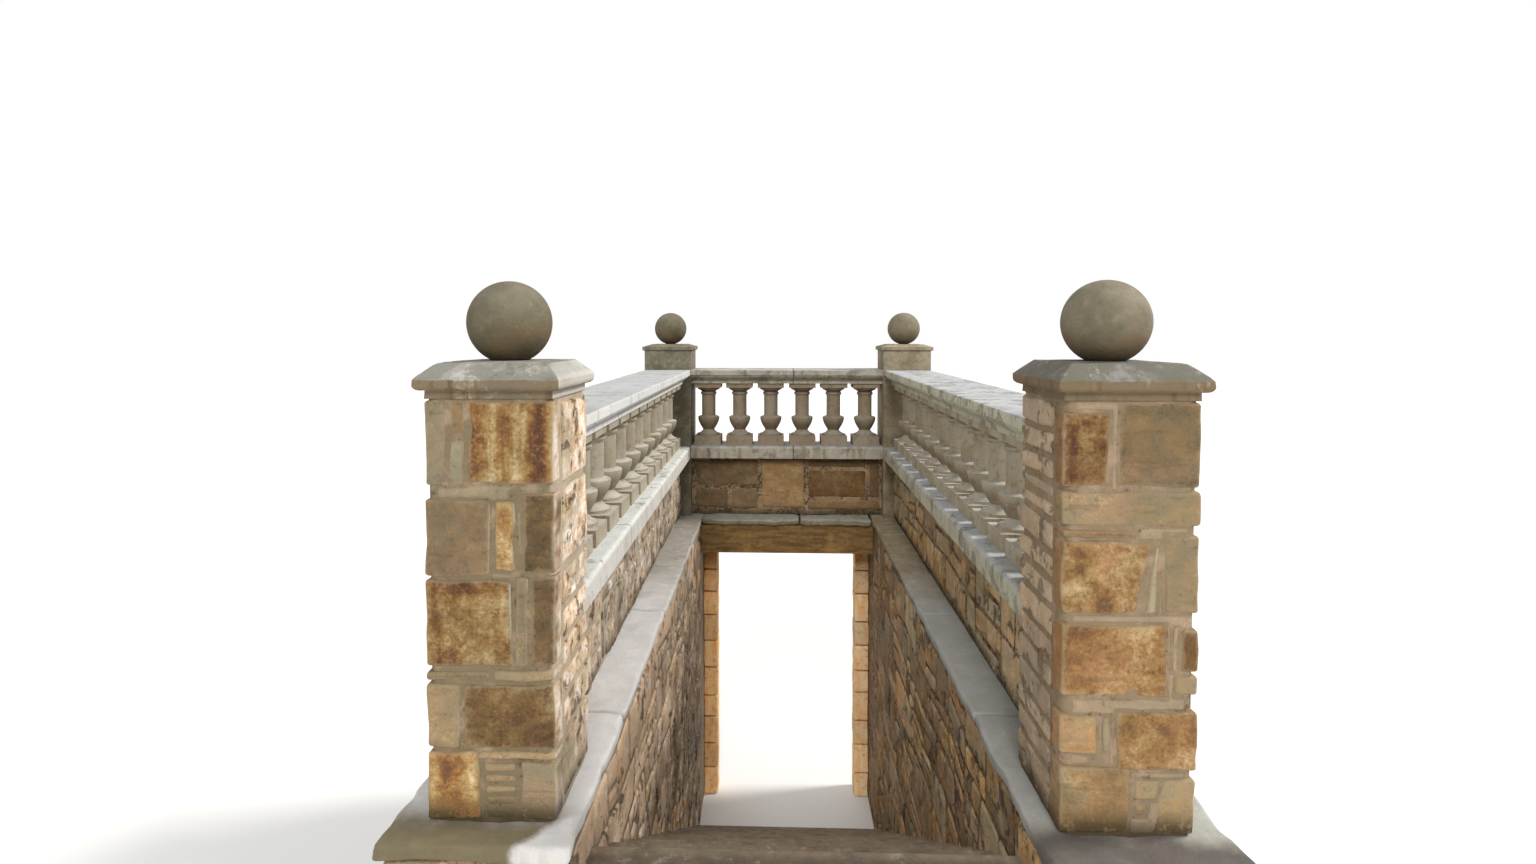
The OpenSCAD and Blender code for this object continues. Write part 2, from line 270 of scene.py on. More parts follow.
def sandstone(name, rugged=False, greyed=0.0, pink=0.0):
    """Rock-faced stones. Each stone's own tone, warmth and stain choose its colours; stains placed on a piece
    make it rustier or creamier. Clouds and mottles of three sizes give plain stones soft patches and stained
    ones rust, ochre and cream, in upright bands where the stain is full. The sides that face the sun get
    painted sunlight in pale patches, borders are smeared with mortar, and rugged rubble has pale flecks and
    pits with painted shade."""
    paint = Paint(name)
    look = paint.attribute("stone", "Color")
    border = paint.attribute("stone", "Alpha")
    placed = paint.attribute("placed_stain", "Fac")
    tone, warmth, stain = paint.split(look)
    if not rugged:
        stain = stain * paint.facing_back.band(-0.2, -0.7)
    place = paint.moved(paint.scaled(look, 9.0))
    cloud = paint.noise(7.0, 4.0, place, 0.62, 0.5)
    mottle = paint.noise(26.0, 5.0, place, 0.68, 0.3)
    speck = paint.noise(95.0, 4.0, place, 0.7)
    grain = paint.noise(330.0, 2.0, place)
    bands = paint.streaks((26.0, 26.0, 2.4), 3.0, place, 0.6, 0.3)
    layers = paint.streaks((6.0, 6.0, 40.0), 4.0, place, 0.6, 0.3)
    blush = paint.noise(6.0, 3.0, (4.4, 1.3, 8.1), 0.6)
    olive = paint.noise(9.0, 3.0, (7.2, 3.3, 2.5), 0.6)
    patchy = 0.5 + cloud.swing(0.6) + mottle.swing(0.6) + speck.swing(0.5)
    upright = 0.5 + bands.swing(0.65) + mottle.swing(0.5) + speck.swing(0.45)
    pattern = patchy + stain.band(0.90, 0.94) * (upright - patchy) + placed
    paint.tint = paint.ramp(
        warmth + patchy.swing(0.9),
        (0.0, 152, 142, 116), (0.22, 152, 132, 99), (0.42, 156, 127, 88), (0.62, 166, 130, 86),
        (0.80, 164, 119, 70), (0.95, 134, 90, 56),
    )
    paint.coat(blush.band(0.48, 0.62) * 0.35, (174, 142, 114))
    paint.coat(olive.band(0.52, 0.64) * 0.5, (142, 134, 104))
    rusty = paint.ramp(
        pattern,
        (0.24, 96, 64, 46), (0.36, 130, 88, 52), (0.45, 152, 112, 64), (0.54, 166, 134, 84),
        (0.64, 188, 162, 114), (0.78, 220, 200, 164),
    )
    paint.coat(stain, rusty)
    if pink:
        warmer = warmth.band(0.35, 0.65) * blush.band(0.38, 0.62)
        paint.coat(warmer * pink, paint.scaled((190, 138, 96), 0.35 + 1.1 * pattern))
    paint.coat((speck + mottle.swing(0.5)).band(0.44, 0.30) * 0.4, (104, 80, 54))
    paint.coat((speck + cloud.swing(0.6)).band(0.56, 0.74) * 0.4, (196, 178, 144))
    paint.coat(layers.band(0.54, 0.68) * 0.4, (120, 96, 66))
    unevenness = mottle.swing(0.45) + grain.swing(0.45) + cloud.swing(0.6)
    paint.shade(0.50 + tone * 0.96 + unevenness + 0.6 * placed * (1 - stain))
    # Painted sunlight: pale cream patches on the sides turned to the key sun
    painted_sunlight = paint.ramp(
        0.5 * cloud + 0.5 * mottle,
        (0.38, 126, 104, 84), (0.44, 184, 152, 122), (0.52, 212, 196, 178), (0.60, 234, 228, 220),
    )
    paint.coat(paint.painted_sun_side * blush.band(0.30, 0.58), painted_sunlight)
    smear = (border + mottle.swing(1.1) + speck.swing(0.6)).band(0.25, 0.95)
    paint.coat(smear * 0.6, paint.scaled((150, 133, 105), 0.85 + 0.3 * grain))
    height = 0.45 * mottle + 0.2 * layers + 0.25 * speck + 0.1 * grain
    if rugged:
        # Pits sunk by the bump, with painted shade in them
        shaded_pits = paint.noise(10.0, 6.0, (1.9, 6.2, 4.7), 0.72, 0.5).band(0.45, 0.37)
        roughen(paint, tone, olive, patchy, greyed)
        paint.coat(shaded_pits * (0.7 - 0.7 * greyed), (74, 56, 40))
        height = height - 0.5 * shaded_pits
    paint.darker_foot(patchy.band(0.36, 0.50) * 0.85, 0.085, 0.015)
    return paint.finish(0.86 + grain.swing(0.1), height, 0.022 if rugged else 0.010)


def roughen(paint, tone, olive, patchy, greyed):
    """What rubble has more than squared stones: olive patches, pale flecks and a slow drift of lighter and
    darker tone. Below the terrace the sun-facing wall gets painted dappled sunlight and a painted glare
    towards the front, and both walls get painted brown shade in the depth of the stairwell."""
    drift = paint.noise(1.3, 3.0, (5.1, 0.7, 3.9), 0.6)
    flecks = paint.noise(8.0, 6.0, (8.3, 2.1, 6.6), 0.72, 0.5).band(0.52, 0.64)
    paint.coat(olive.band(0.46, 0.58) * 0.5, (152, 142, 124))
    paint.coat(flecks * 0.6, (210, 186, 154))
    if greyed:
        paint.coat(greyed, paint.scaled((170, 151, 134), 0.4 + 1.1 * patchy))
    # Painted sunlight on the sun-facing wall below the terrace: dappled patches, and a pale glare towards the
    # front
    sunlit = paint.painted_sun_side * paint.z.band(TERRACE, TERRACE - 0.02)
    dapple = 2.2 * (paint.noise(4.2, 3.0, (3.7, 2.6, 0.4), 0.6) - 0.48) + drift.swing(1.0)
    paint.shade((0.58 + 1.15 * drift + sunlit * dapple) * (0.80 + 0.34 * tone))
    glare = sunlit * (paint.y + drift.swing(1.6)).band(0.7, -0.8) * paint.z.band(TERRACE - 1.1, TERRACE - 0.2)
    paint.coat(glare * (0.6 + 0.4 * flecks), (255, 222, 188))
    # Painted shade: brown and dim on both walls deep in the stairwell, towards the doorway
    painted_depth_shade = (paint.y + drift.swing(0.8)).band(0.1, 1.7) * paint.z.band(TERRACE, TERRACE - 0.05)
    painted_depth_shade = painted_depth_shade * paint.x.band(WALL_IN + 0.1, WALL_IN + 0.05) * paint.x.band(-WALL_IN - 0.1, -WALL_IN - 0.05)
    painted_depth_shade = painted_depth_shade * paint.y.band(REAR_WALL + 0.05, REAR_WALL)
    paint.coat(painted_depth_shade * 0.45, paint.scaled((112, 84, 54), 0.3 + 1.2 * patchy))


def mortar(name, light, dark, dark_share):
    """Sandy lime mortar: a coarse surface, pink and dark clouds, trowelled streaks, and dark patches where it
    is washed out."""
    paint = Paint(name)
    cloud, coarse, grain = paint.noises((7.0, 5.0, 0.62), (48.0, 5.0, 0.68), (380.0, 2.0, 0.55))
    blush = paint.noise(11.0, 4.0, (2.7, 5.9, 0.4), 0.6)
    trowelled = paint.streaks((7.0, 7.0, 60.0), 4.0, None, 0.6, 0.2)
    paint.tint = paint.mix(blush.band(0.48, 0.66) * 0.7, light, (178, 152, 128))
    paint.shade(0.51 + 0.36 * cloud + 0.36 * coarse + grain.swing(0.3) + 0.3 * trowelled)
    paint.coat((coarse + cloud.swing(0.8)).band(0.36 + dark_share, 0.24 + dark_share) * 0.8, dark)
    paint.darker_foot(0.75, 0.06, 0.005)
    # Painted sunlight: a pale coat on the side turned to the key sun
    paint.coat(paint.painted_sun_side * (0.10 + 0.7 * cloud), (222, 206, 184))
    return paint.finish(0.95, 0.6 * coarse + 0.4 * grain, 0.010)


def joint_lines(paint, along, start, pitch):
    """1 on the joints of stones laid end to end: narrow lines a pitch apart along an axis."""
    wander = paint.noise(9.0).swing(0.004)
    turn = paint.node("ShaderNodeMath", {"operation": "PINGPONG"}, {0: along - start + wander, 1: pitch / 2})
    return turn.band(SLAB_JOINT, SLAB_JOINT * 0.4)


def weathered(name, top, side, lichen_share, crust_share, joints=None, shadow_and_dirt=None, pale=None, streaked=0.5):
    """Dressed stone in the weather: pale where it faces up, browner on its sides, partly weathering and
    partly painted sky light and shade, with lichen, pale crust, dark runs below its edges and, on long
    courses, the joints between stones. The side turned to the key sun gets painted sunlight. On a ledge, a
    dark patch in front of the pier is dirt with a painted cast shadow, and the rest of the front is paled by
    painted sunlight."""
    paint = Paint(name)
    cloud, blotch, speck, grain = paint.noises(
        (3.2, 5.0, 0.6), (14.0, 5.0, 0.65), (75.0, 3.0, 0.65), (330.0, 2.0, 0.55))
    runs = paint.streaks((24.0, 24.0, 3.0), 4.0)
    bloom = paint.noise(11.0, 5.0, (6.3, 2.2, 5.4), 0.65)
    patches = paint.noise(8.0, 6.0, (3.1, 7.7, 1.9), 0.7)
    # Top and side colours mix by how a face turns: partly weathering, partly painted sky light and shade
    upward = (paint.facing_up + blotch.swing(0.3)).band(0.2, 0.75)
    paint.tint = paint.mix(upward, side, top)
    paint.shade(0.97 + cloud.swing(0.5) + blotch.swing(0.3) + grain.swing(0.3))
    crust = (blotch + speck.swing(0.5)).band(0.60 - crust_share, 0.72 - crust_share)
    paint.coat(crust * (0.2 + 0.2 * upward), (204, 199, 188))
    paint.coat(bloom.band(0.50, 0.62) * 0.30 * upward, (176, 170, 172))
    lichen = (patches + speck.swing(0.2)).band(0.58 - lichen_share, 0.66 - lichen_share)
    paint.coat(lichen * 0.55, (104, 98, 78))
    paint.coat(runs.band(0.52, 0.66) * (1 - upward) * streaked, (98, 82, 58))
    pores = paint.node("ShaderNodeTexVoronoi", None, {"Vector": paint.place, "Scale": 60.0}, "Distance")
    paint.coat(pores.band(0.22, 0.10) * speck.band(0.50, 0.60) * 0.4, (92, 86, 70))
    # Painted sunlight: a pale coat on the side turned to the key sun
    paint.coat(paint.painted_sun_side * (0.3 + 0.5 * cloud), (214, 211, 204))
    if shadow_and_dirt:
        shaded_dirt, dark_edge_x = shadow_and_dirt
        # A dark patch on the ledge in front of the pier, up to a diagonal edge: dirt with a painted cast
        # shadow of the pier
        across = paint.x - 0.9 * (paint.y - PIER_FRONT) + blotch.swing(0.08)
        front = (paint.y + cloud.swing(0.25)).band(PIER_FRONT + 0.10, PIER_FRONT - 0.05)
        front = front * across.band(dark_edge_x + 0.02, dark_edge_x - 0.03)
        paint.coat(front * (0.8 + 0.3 * cloud), paint.scaled(shaded_dirt, 0.55 + 0.5 * blotch + 0.4 * patches))
        # Painted sunlight: the rest of the front of the ledge is paled
        near = (paint.y + cloud.swing(1.4)).band(0.6, -0.4) * (1 - front)
        paint.coat(near * 0.6, paint.scaled(pale, 0.94 + blotch.swing(0.3)))
    height = 0.45 * blotch + 0.35 * speck + 0.2 * grain
    if joints:
        axis, start, pitch = joints
        lines = joint_lines(paint, paint.x if axis == "x" else paint.y, start, pitch)
        paint.coat(lines * 0.75, (84, 76, 60))
        height = height - 0.7 * lines
    return paint.finish(0.88, height, 0.006)


def baluster_stone(name, painted_shade_share):
    """Turned limestone: warm grey, pale on upper faces, partly weathering and partly painted sky light, with
    painted shade on the downward faces in the hollows under the cap and at the waist. The side of the left
    run turned to the key sun gets painted shade, and the share given darkens and browns a whole run with
    painted shade, for the run that stands in shade."""
    paint = Paint(name)
    cloud, blotch, speck, grain = paint.noises(
        (6.0, 4.0, 0.55), (26.0, 4.0, 0.65), (90.0, 3.0, 0.65), (340.0, 2.0, 0.55))
    paint.tint = paint.mix(cloud.band(0.35, 0.65), (176, 162, 137), (192, 184, 165))
    # Pale upper faces: partly weathering, partly painted sky light
    paint.coat(paint.facing_up.band(0.1, 0.7) * 0.6, (200, 197, 187))
    # Painted shade on the downward faces, in the hollows under the cap and at the waist
    paint.coat(paint.facing_up.band(-0.05, -0.55) * 0.55, (112, 98, 76))
    paint.coat(blotch.band(0.47, 0.34) * 0.45, (116, 104, 82))
    paint.coat(speck.band(0.56, 0.70) * 0.4, (206, 200, 186))
    # Painted shade on the side of the left run that faces the key sun
    paint.coat(paint.painted_sun_side * 0.45, (146, 138, 122))
    # Painted shade: the given share darkens and browns the whole run
    paint.coat(painted_shade_share, (96, 76, 52))
    paint.shade(0.96 + grain.swing(0.3))
    return paint.finish(0.88, 0.5 * blotch + 0.3 * speck + 0.2 * grain, 0.0045)


def grey_stone(name, light, dark, courses=None):
    """Grey-brown stone: that of the balls is softly clouded, pale on top, partly weathering and partly
    painted sky light, and rusty below, and that of the rear piers, which has courses, carries lichen and
    joints. Both get painted shade on their downward faces."""
    paint = Paint(name)
    cloud, blotch, speck, grain = paint.noises(
        (8.0, 5.0, 0.6), (32.0, 5.0, 0.68), (110.0, 3.0, 0.65), (300.0, 2.0, 0.55))
    lichen, hollows, specks = (0.25, 0.5, 0.12) if courses else (0.10, 0.3, 0.06)
    paint.tint = paint.mix(cloud.band(0.36, 0.64), dark, light)
    paint.coat(blotch.band(0.54, 0.66) * lichen, (168, 160, 136))
    paint.coat(blotch.band(0.45, 0.32) * hollows, (92, 86, 62))
    paint.coat(speck.band(0.58, 0.70) * specks, (184, 178, 160))
    if not courses:
        # Pale tops of the balls: partly weathering, partly painted sky light
        paint.coat(paint.facing_up.band(-0.1, 0.9) * (0.05 + 0.45 * cloud), (146, 138, 122))
        paint.coat(paint.facing_up.band(0.2, -0.5) * cloud.band(0.47, 0.62) * 0.4, (124, 82, 44))
    # Painted shade on the downward faces
    paint.coat(paint.facing_up.band(0.0, -0.9) * 0.65, (82, 70, 48))
    paint.shade(1.0 + grain.swing(0.34))
    height = 0.5 * blotch + 0.3 * speck + 0.2 * grain
    if courses:
        lines = joint_lines(paint, paint.z, *courses)
        paint.coat(lines * 0.6, (150, 136, 108))
        height = height - 0.6 * lines
    return paint.finish(0.9, height, 0.006)


def step_stone():
    """Trodden steps: brown-grey, paler on the worn nosings, with painted shade in the corner where each tread
    meets the riser above it.
    """
    paint = Paint("step_stone")
    cloud, blotch, grain = paint.noises((4.0, 5.0, 0.55), (22.0, 4.0, 0.65), (280.0, 2.0, 0.55))
    rust = paint.noise(9.0, 5.0, (4.6, 1.8, 7.3), 0.66)
    upward = paint.facing_up.band(0.2, 0.8)
    goings = (paint.y - NOSING_Y) * (1 / GOING) + 4.0
    tread = paint.node("ShaderNodeMath", {"operation": "FRACT"}, {0: goings})
    paint.tint = paint.mix(upward, (104, 91, 76), (117, 104, 90))
    paint.coat((tread.band(0.80, 0.98) * upward + 0.5 * (1 - upward)) * 0.7, (156, 141, 120))
    # Painted shade in the corner where each tread meets the riser above it
    paint.coat(tread.band(0.22, 0.02) * upward * 0.75, (72, 60, 46))
    paint.coat(rust.band(0.50, 0.64) * 0.5, (128, 98, 80))
    paint.coat(rust.band(0.46, 0.34) * 0.5, (92, 86, 78))
    paint.coat(blotch.band(0.56, 0.68) * 0.5, (168, 156, 138))
    paint.shade(0.97 + cloud.swing(0.7) + blotch.swing(0.8) + grain.swing(0.3))
    return paint.finish(0.82, 0.7 * blotch + 0.3 * grain, 0.010)


def lintel_stone():
    """Brown lintel with long bedding lines and darker flakes."""
    paint = Paint("lintel_stone")
    cloud, blotch, grain = paint.noises((5.0, 4.0, 0.6), (28.0, 4.0, 0.66), (280.0, 2.0, 0.55))
    bedding = paint.streaks((5.0, 12.0, 30.0), 5.0, None, 0.66, 0.3)
    paint.tint = paint.mix(bedding.band(0.40, 0.60), (112, 86, 52), (139, 111, 71))
    paint.coat(cloud.band(0.54, 0.70) * 0.6, (170, 134, 82))
    paint.coat(blotch.band(0.46, 0.34) * 0.5, (96, 72, 42))
    paint.shade(1.0 + blotch.swing(0.3) + grain.swing(0.3))
    return paint.finish(0.88, 0.4 * bedding + 0.4 * blotch + 0.2 * grain, 0.010)


def jamb_stone(name, light, dark):
    """Clean sawn blocks of the door jambs: orange ochre, in soft upright clouds, with a few darker stains.
    Every face but the front gets painted shade.
    """
    paint = Paint(name)
    tone = paint.split(paint.attribute("stone", "Color"))[0]
    cloud = paint.streaks((22.0, 22.0, 7.0), 4.0)
    blotch, grain = paint.noises((30.0, 4.0, 0.66), (280.0, 2.0, 0.55))
    paint.tint = paint.mix(cloud.band(0.38, 0.60), dark, light)
    paint.coat(blotch.band(0.45, 0.34) * 0.4, (158, 108, 62))
    paint.shade(0.84 + 0.3 * tone + blotch.swing(0.3) + grain.swing(0.2))
    # Painted shade: every face but the front is darkened by a quarter
    paint.shade(1 - 0.26 * paint.facing_back.band(-0.8, -0.4))
    return paint.finish(0.9, 0.5 * cloud + 0.3 * blotch + 0.2 * grain, 0.006)


SANDSTONE = {"left": sandstone("sandstone"), "right": sandstone("sandstone_right", pink=0.4)}
RUBBLE = sandstone("rubble", True)
RUBBLE_GREY = sandstone("rubble_grey", True, 0.45)
MORTAR = {
    "left": mortar("mortar_left", (132, 117, 91), (96, 81, 60), 0.05),
    "right": mortar("mortar_right", (146, 127, 101), (102, 84, 63), 0.05),
}
POINTING = {
    "left": mortar("pointing_left", (147, 134, 107), (112, 96, 72), 0.02),
    "right": mortar("pointing_right", (164, 145, 118), (120, 102, 78), 0.02),
}
WALL_MORTAR = mortar("wall_mortar", (150, 126, 98), (60, 47, 34), 0.16)
SIDE_JOINTS = ("y", RAIL_FRONT, RAIL_STONE)
# On the ledges the first colour is dirt with a painted cast shadow in front of the pier, and the pale colour
# is painted sunlight on the front
SLAB = {
    "left": weathered("slab_left", (162, 156, 147), (182, 172, 154), 0.0, 0.05, None,
                      ((111, 101, 76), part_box("front_pier_left")[1].x), (232, 232, 232)),
    "right": weathered("slab_right", (150, 136, 108), (150, 142, 124), 0.02, 0.02, None,
                       ((92, 87, 84), WALL_OUT + 0.2), (178, 185, 187)),
    "rear": weathered("slab_rear", (150, 150, 140), (136, 126, 104), 0.03, 0.02),
}
RAIL = {
    "left": weathered("rail_left", (172, 174, 173), (212, 215, 218), 0.0, 0.05, SIDE_JOINTS),
    "right": weathered("rail_right", (176, 178, 180), (199, 198, 178), 0.07, 0.08, SIDE_JOINTS,
                       streaked=0.25),
    "rear": weathered("rail_rear", (168, 166, 162), (170, 163, 149), 0.07, 0.09, ("x", 0.05, RAIL_STONE)),
}
FOOT_RAIL = dict(RAIL)
# The left bottom rail: a paler copy of the left rail stone, whose pale top is partly painted sunlight
FOOT_RAIL["left"] = weathered("bottom_rail_left", (214, 217, 213), (200, 198, 192), 0.04, 0.08, SIDE_JOINTS)
CAP = {
    "left": weathered("cap_left", (131, 130, 121), (126, 111, 89), 0.05, 0.05, streaked=0.9),
    "right": weathered("cap_right", (108, 106, 95), (123, 105, 81), 0.04, 0.02, streaked=0.6),
}
STEP = step_stone()
LINTEL = lintel_stone()
SHAFT = baluster_stone("baluster_stone", 0.0)
# The rear run is a darker, browner copy of the baluster stone: painted shade
BALUSTERS = {"left": SHAFT, "right": SHAFT, "rear": baluster_stone("baluster_stone_rear_painted_shade", 0.55)}
BALL = {
    "left": grey_stone("ball_left", (101, 96, 77), (87, 80, 61)),
    "right": grey_stone("ball_right", (128, 120, 100), (110, 102, 83)),
}
COURSES = (TERRACE + 0.32, 0.37)
REAR_PIER = {
    "left": grey_stone("rear_pier_left", (125, 119, 101), (105, 99, 83), COURSES),
    "right": grey_stone("rear_pier_right", (157, 144, 121), (132, 120, 99), COURSES),
}
# The jamb colours are pushed to the palest orange ochre: partly the stone's own colour, partly painted
# sunlight
JAMB = {
    "left": jamb_stone("jamb_left", (255, 216, 160), (255, 194, 128)),
    "right": jamb_stone("jamb_right", (255, 226, 182), (255, 202, 144)),
}

# The material of each CAD node
dress = {"lintel": LINTEL, "stair_core": WALL_MORTAR, **{"step_%02d" % k: STEP for k in range(1, 13)}}
WALLS = {"left": WALL_MORTAR, "right": WALL_MORTAR}
DWARF_WALLS = {"left": MORTAR["left"], "right": WALL_MORTAR, "rear": WALL_MORTAR}
for part, materials in {
    "front_pier_": MORTAR, "front_cap_": CAP, "front_ball_": BALL, "rear_pier_": REAR_PIER,
    "rear_cap_": REAR_PIER, "rear_ball_": BALL, "top_rail_": RAIL, "bottom_rail_": FOOT_RAIL,
    "balusters_": BALUSTERS, "ledge_": SLAB, "door_jamb_": JAMB, "side_wall_": WALLS,
    "dwarf_wall_": DWARF_WALLS,
}.items():
    dress.update({part + side: material for side, material in materials.items()})
for name, material in dress.items():
    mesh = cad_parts[name].data
    mesh.materials.clear()
    mesh.materials.append(material)


# Surfaces

def box(name):
    """Lowest and highest corner of a CAD node, as arrays."""
    return [np.array(corner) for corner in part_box(name)]


def lattice_value(cell, seed):
    """A number from 0 to 1 for each whole-number point, mixed from its three by products and bit shifts."""
    x, y, z = (cell[..., i].astype(np.uint32) for i in range(3))
    with np.errstate(over="ignore"):
        mixed = x * np.uint32(374761393) + y * np.uint32(668265263) + z * np.uint32(2246822519)
        mixed = mixed + np.uint32(seed * 3266489917 % 4294967296)
        mixed = (mixed ^ (mixed >> np.uint32(13))) * np.uint32(1274126177)
        mixed = mixed ^ (mixed >> np.uint32(16))
    return mixed / 4294967295.0


def wave(points, size, seed):
    """Smooth noise from -1 to 1: lattice values, blended by a smooth step between the corners of a cell."""
    scaled = points / size
    cell = np.floor(scaled).astype(np.int64)
    part = scaled - cell
    part = part * part * (3 - 2 * part)
    total = np.zeros(points.shape[:-1])
    for corner in np.ndindex(2, 2, 2):
        weight = np.prod(np.where(np.array(corner) == 1, part, 1 - part), axis=-1)
        total += weight * lattice_value((cell + np.array(corner)) & 0xFFFFFFFF, seed)
    return 2 * total - 1


def rough(points, size, seed):
    """Sum of three waves, each with half the size and half the height of the one before."""
    return sum(wave(points, size / 2 ** k, seed + k) / 2 ** k for k in range(3)) / 1.75


def stations(length, radius, cells):
    """Distances along an edge for each length: close together over the radius at both ends, even between."""
    bend = np.array([0.0, 0.3, 0.65, 1.0])
    even = np.linspace(0, 1, cells + 1)[1:-1]
    near = np.concatenate([bend, np.ones(cells - 1), np.ones(4)])
    middle = np.concatenate([np.zeros(4), even, np.ones(4)])
    far = np.concatenate([np.zeros(4 + cells - 1), 1 - bend[::-1]])
    length = np.asarray(length)[:, None]
    radius = np.asarray(radius)[:, None]
    return radius * near + (length - 2 * radius) * middle + radius * far


def border_share(grid, reach):
    """Distance of each grid point from the nearest edge of its grid: 1 on the edge and 0 a reach inside."""
    rows, columns = (np.minimum(np.arange(n), np.arange(n)[::-1]) for n in grid.shape[1:3])
    share = 1 - np.clip(np.minimum(rows[:, None], columns) / reach, 0, 1)
    return np.broadcast_to(share, grid.shape[:3])


def block_faces(lows, highs, radius, cells, depth, size, seed, wobble=0.0, lean=None, reach=3.0):
    """Six grids for each rounded block, each with its border share. A grid point moves from the inner block,
    which is the block less the radius on every side, by the radius along the direction from it, then inwards
    by noise times depth. The whole block is then bent sideways by a slower noise times wobble, inside the box
    of all blocks. A lean moves the left and right ends of each block outwards at its top, by metres."""
    lows, highs = np.asarray(lows, float), np.asarray(highs, float)
    span = highs - lows
    radius = np.minimum(radius, span.min(1) * 0.45)
    faces = []
    for axis, side in [(a, s) for a in range(3) for s in (0, 1)]:
        first, second = ((axis + 1) % 3, (axis + 2) % 3) if side else ((axis + 2) % 3, (axis + 1) % 3)
        u = stations(span[:, first], radius, cells[first])
        v = stations(span[:, second], radius, cells[second])
        grid = np.zeros((len(lows), u.shape[1], v.shape[1], 3))
        grid[..., first] = u[:, :, None]
        grid[..., second] = v[:, None, :]
        grid[..., axis] = side * span[:, axis][:, None, None]
        edge = radius[:, None, None, None]
        inner = np.clip(grid, edge, span[:, None, None, :] - edge)
        out = grid - inner
        out = out / np.linalg.norm(out, axis=-1, keepdims=True)
        point = lows[:, None, None, :] + inner + out * edge
        point = point + out * depth * (rough(point, size, seed)[..., None] - 1) / 2
        if lean is not None:
            across, upward = (grid[..., i] / span[:, i][:, None, None] for i in (0, 2))
            left, right = (lean[:, i][:, None, None] for i in (0, 1))
            point[..., 0] += (upward - 0.5) * (left * (1 - across) + right * across)
        if wobble:
            bend = [wave(point, 0.10, seed + 10 + i) + 0.5 * wave(point, 0.045, seed + 20 + i)
                    for i in range(3)]
            point = np.clip(point + wobble * np.stack(bend, -1), lows.min(0), highs.max(0))
        faces.append((point, border_share(point, reach)))
    return faces


def with_third(flat, third):
    """Points of two numbers as points of three, the third being one number or one for each row."""
    return np.concatenate([flat, np.broadcast_to(third, flat.shape[:-1] + (1,))], -1)


def pillow_faces(corners, origin, across, outward, relief, cells, seed, limits):
    """One grid for each stone of a wall face, and its border share. The four corners are in the face's own
    width and height. Height over the mortar is the stone's own share of the relief times the sines of the way
    into the rounded border, plus rock noise."""
    width = np.linalg.norm(corners[:, 1] - corners[:, 0], axis=1)
    height = np.linalg.norm(corners[:, 3] - corners[:, 0], axis=1)
    radius = np.minimum(PILLOW_ROUND, 0.4 * np.minimum(width, height))
    ways, rises = [], []
    for length, count in ((width, cells[0]), (height, cells[1])):
        way = stations(length, radius, count)
        length = length[:, None]
        rises.append(np.sin(np.pi / 2 * np.clip(np.minimum(way, length - way) / radius[:, None], 0, 1)))
        ways.append(way / length)
    s, t = ways[0][:, :, None, None], ways[1][:, None, :, None]
    rise_s, rise_t = rises[0][:, :, None], rises[1][:, None, :]
    a, b, c, d = (corners[:, i][:, None, None, :] for i in range(4))
    flat = (1 - s) * (1 - t) * a + s * (1 - t) * b + s * t * c + (1 - s) * t * d
    middle = flat.mean(axis=(1, 2), keepdims=True)
    flat = flat + (middle - flat) * 0.09 * ((1 - rise_s) * (1 - rise_t))[..., None]
    place = with_third(flat, 0.0)
    wander = np.stack([wave(place, 0.035, seed + k) for k in (5, 6)], -1)
    flat = np.clip(flat + PILLOW_WANDER * wander, *limits)
    point = origin + flat[..., :1] * across + flat[..., 1:] * np.array([0.0, 0.0, 1.0])
    rock = relief * (0.55 * (rough(point, 0.13, seed) - 1) / 2 + 0.25 * (wave(point, 0.04, seed + 3) - 1) / 2)
    stand = np.random.default_rng(seed).uniform(STONE_STANDS, 1.0, len(corners))[:, None, None]
    lift = -PILLOW_SINK + rise_s * rise_t * (PILLOW_SINK + (relief + rock) * stand)
    return point + lift[..., None] * outward, 1 - rise_s * rise_t


def add_object(name, data):
    """A new object of the scene, its place left to its data."""
    thing = bpy.data.objects.new(name, data)
    bpy.context.scene.collection.objects.link(thing)
    return thing


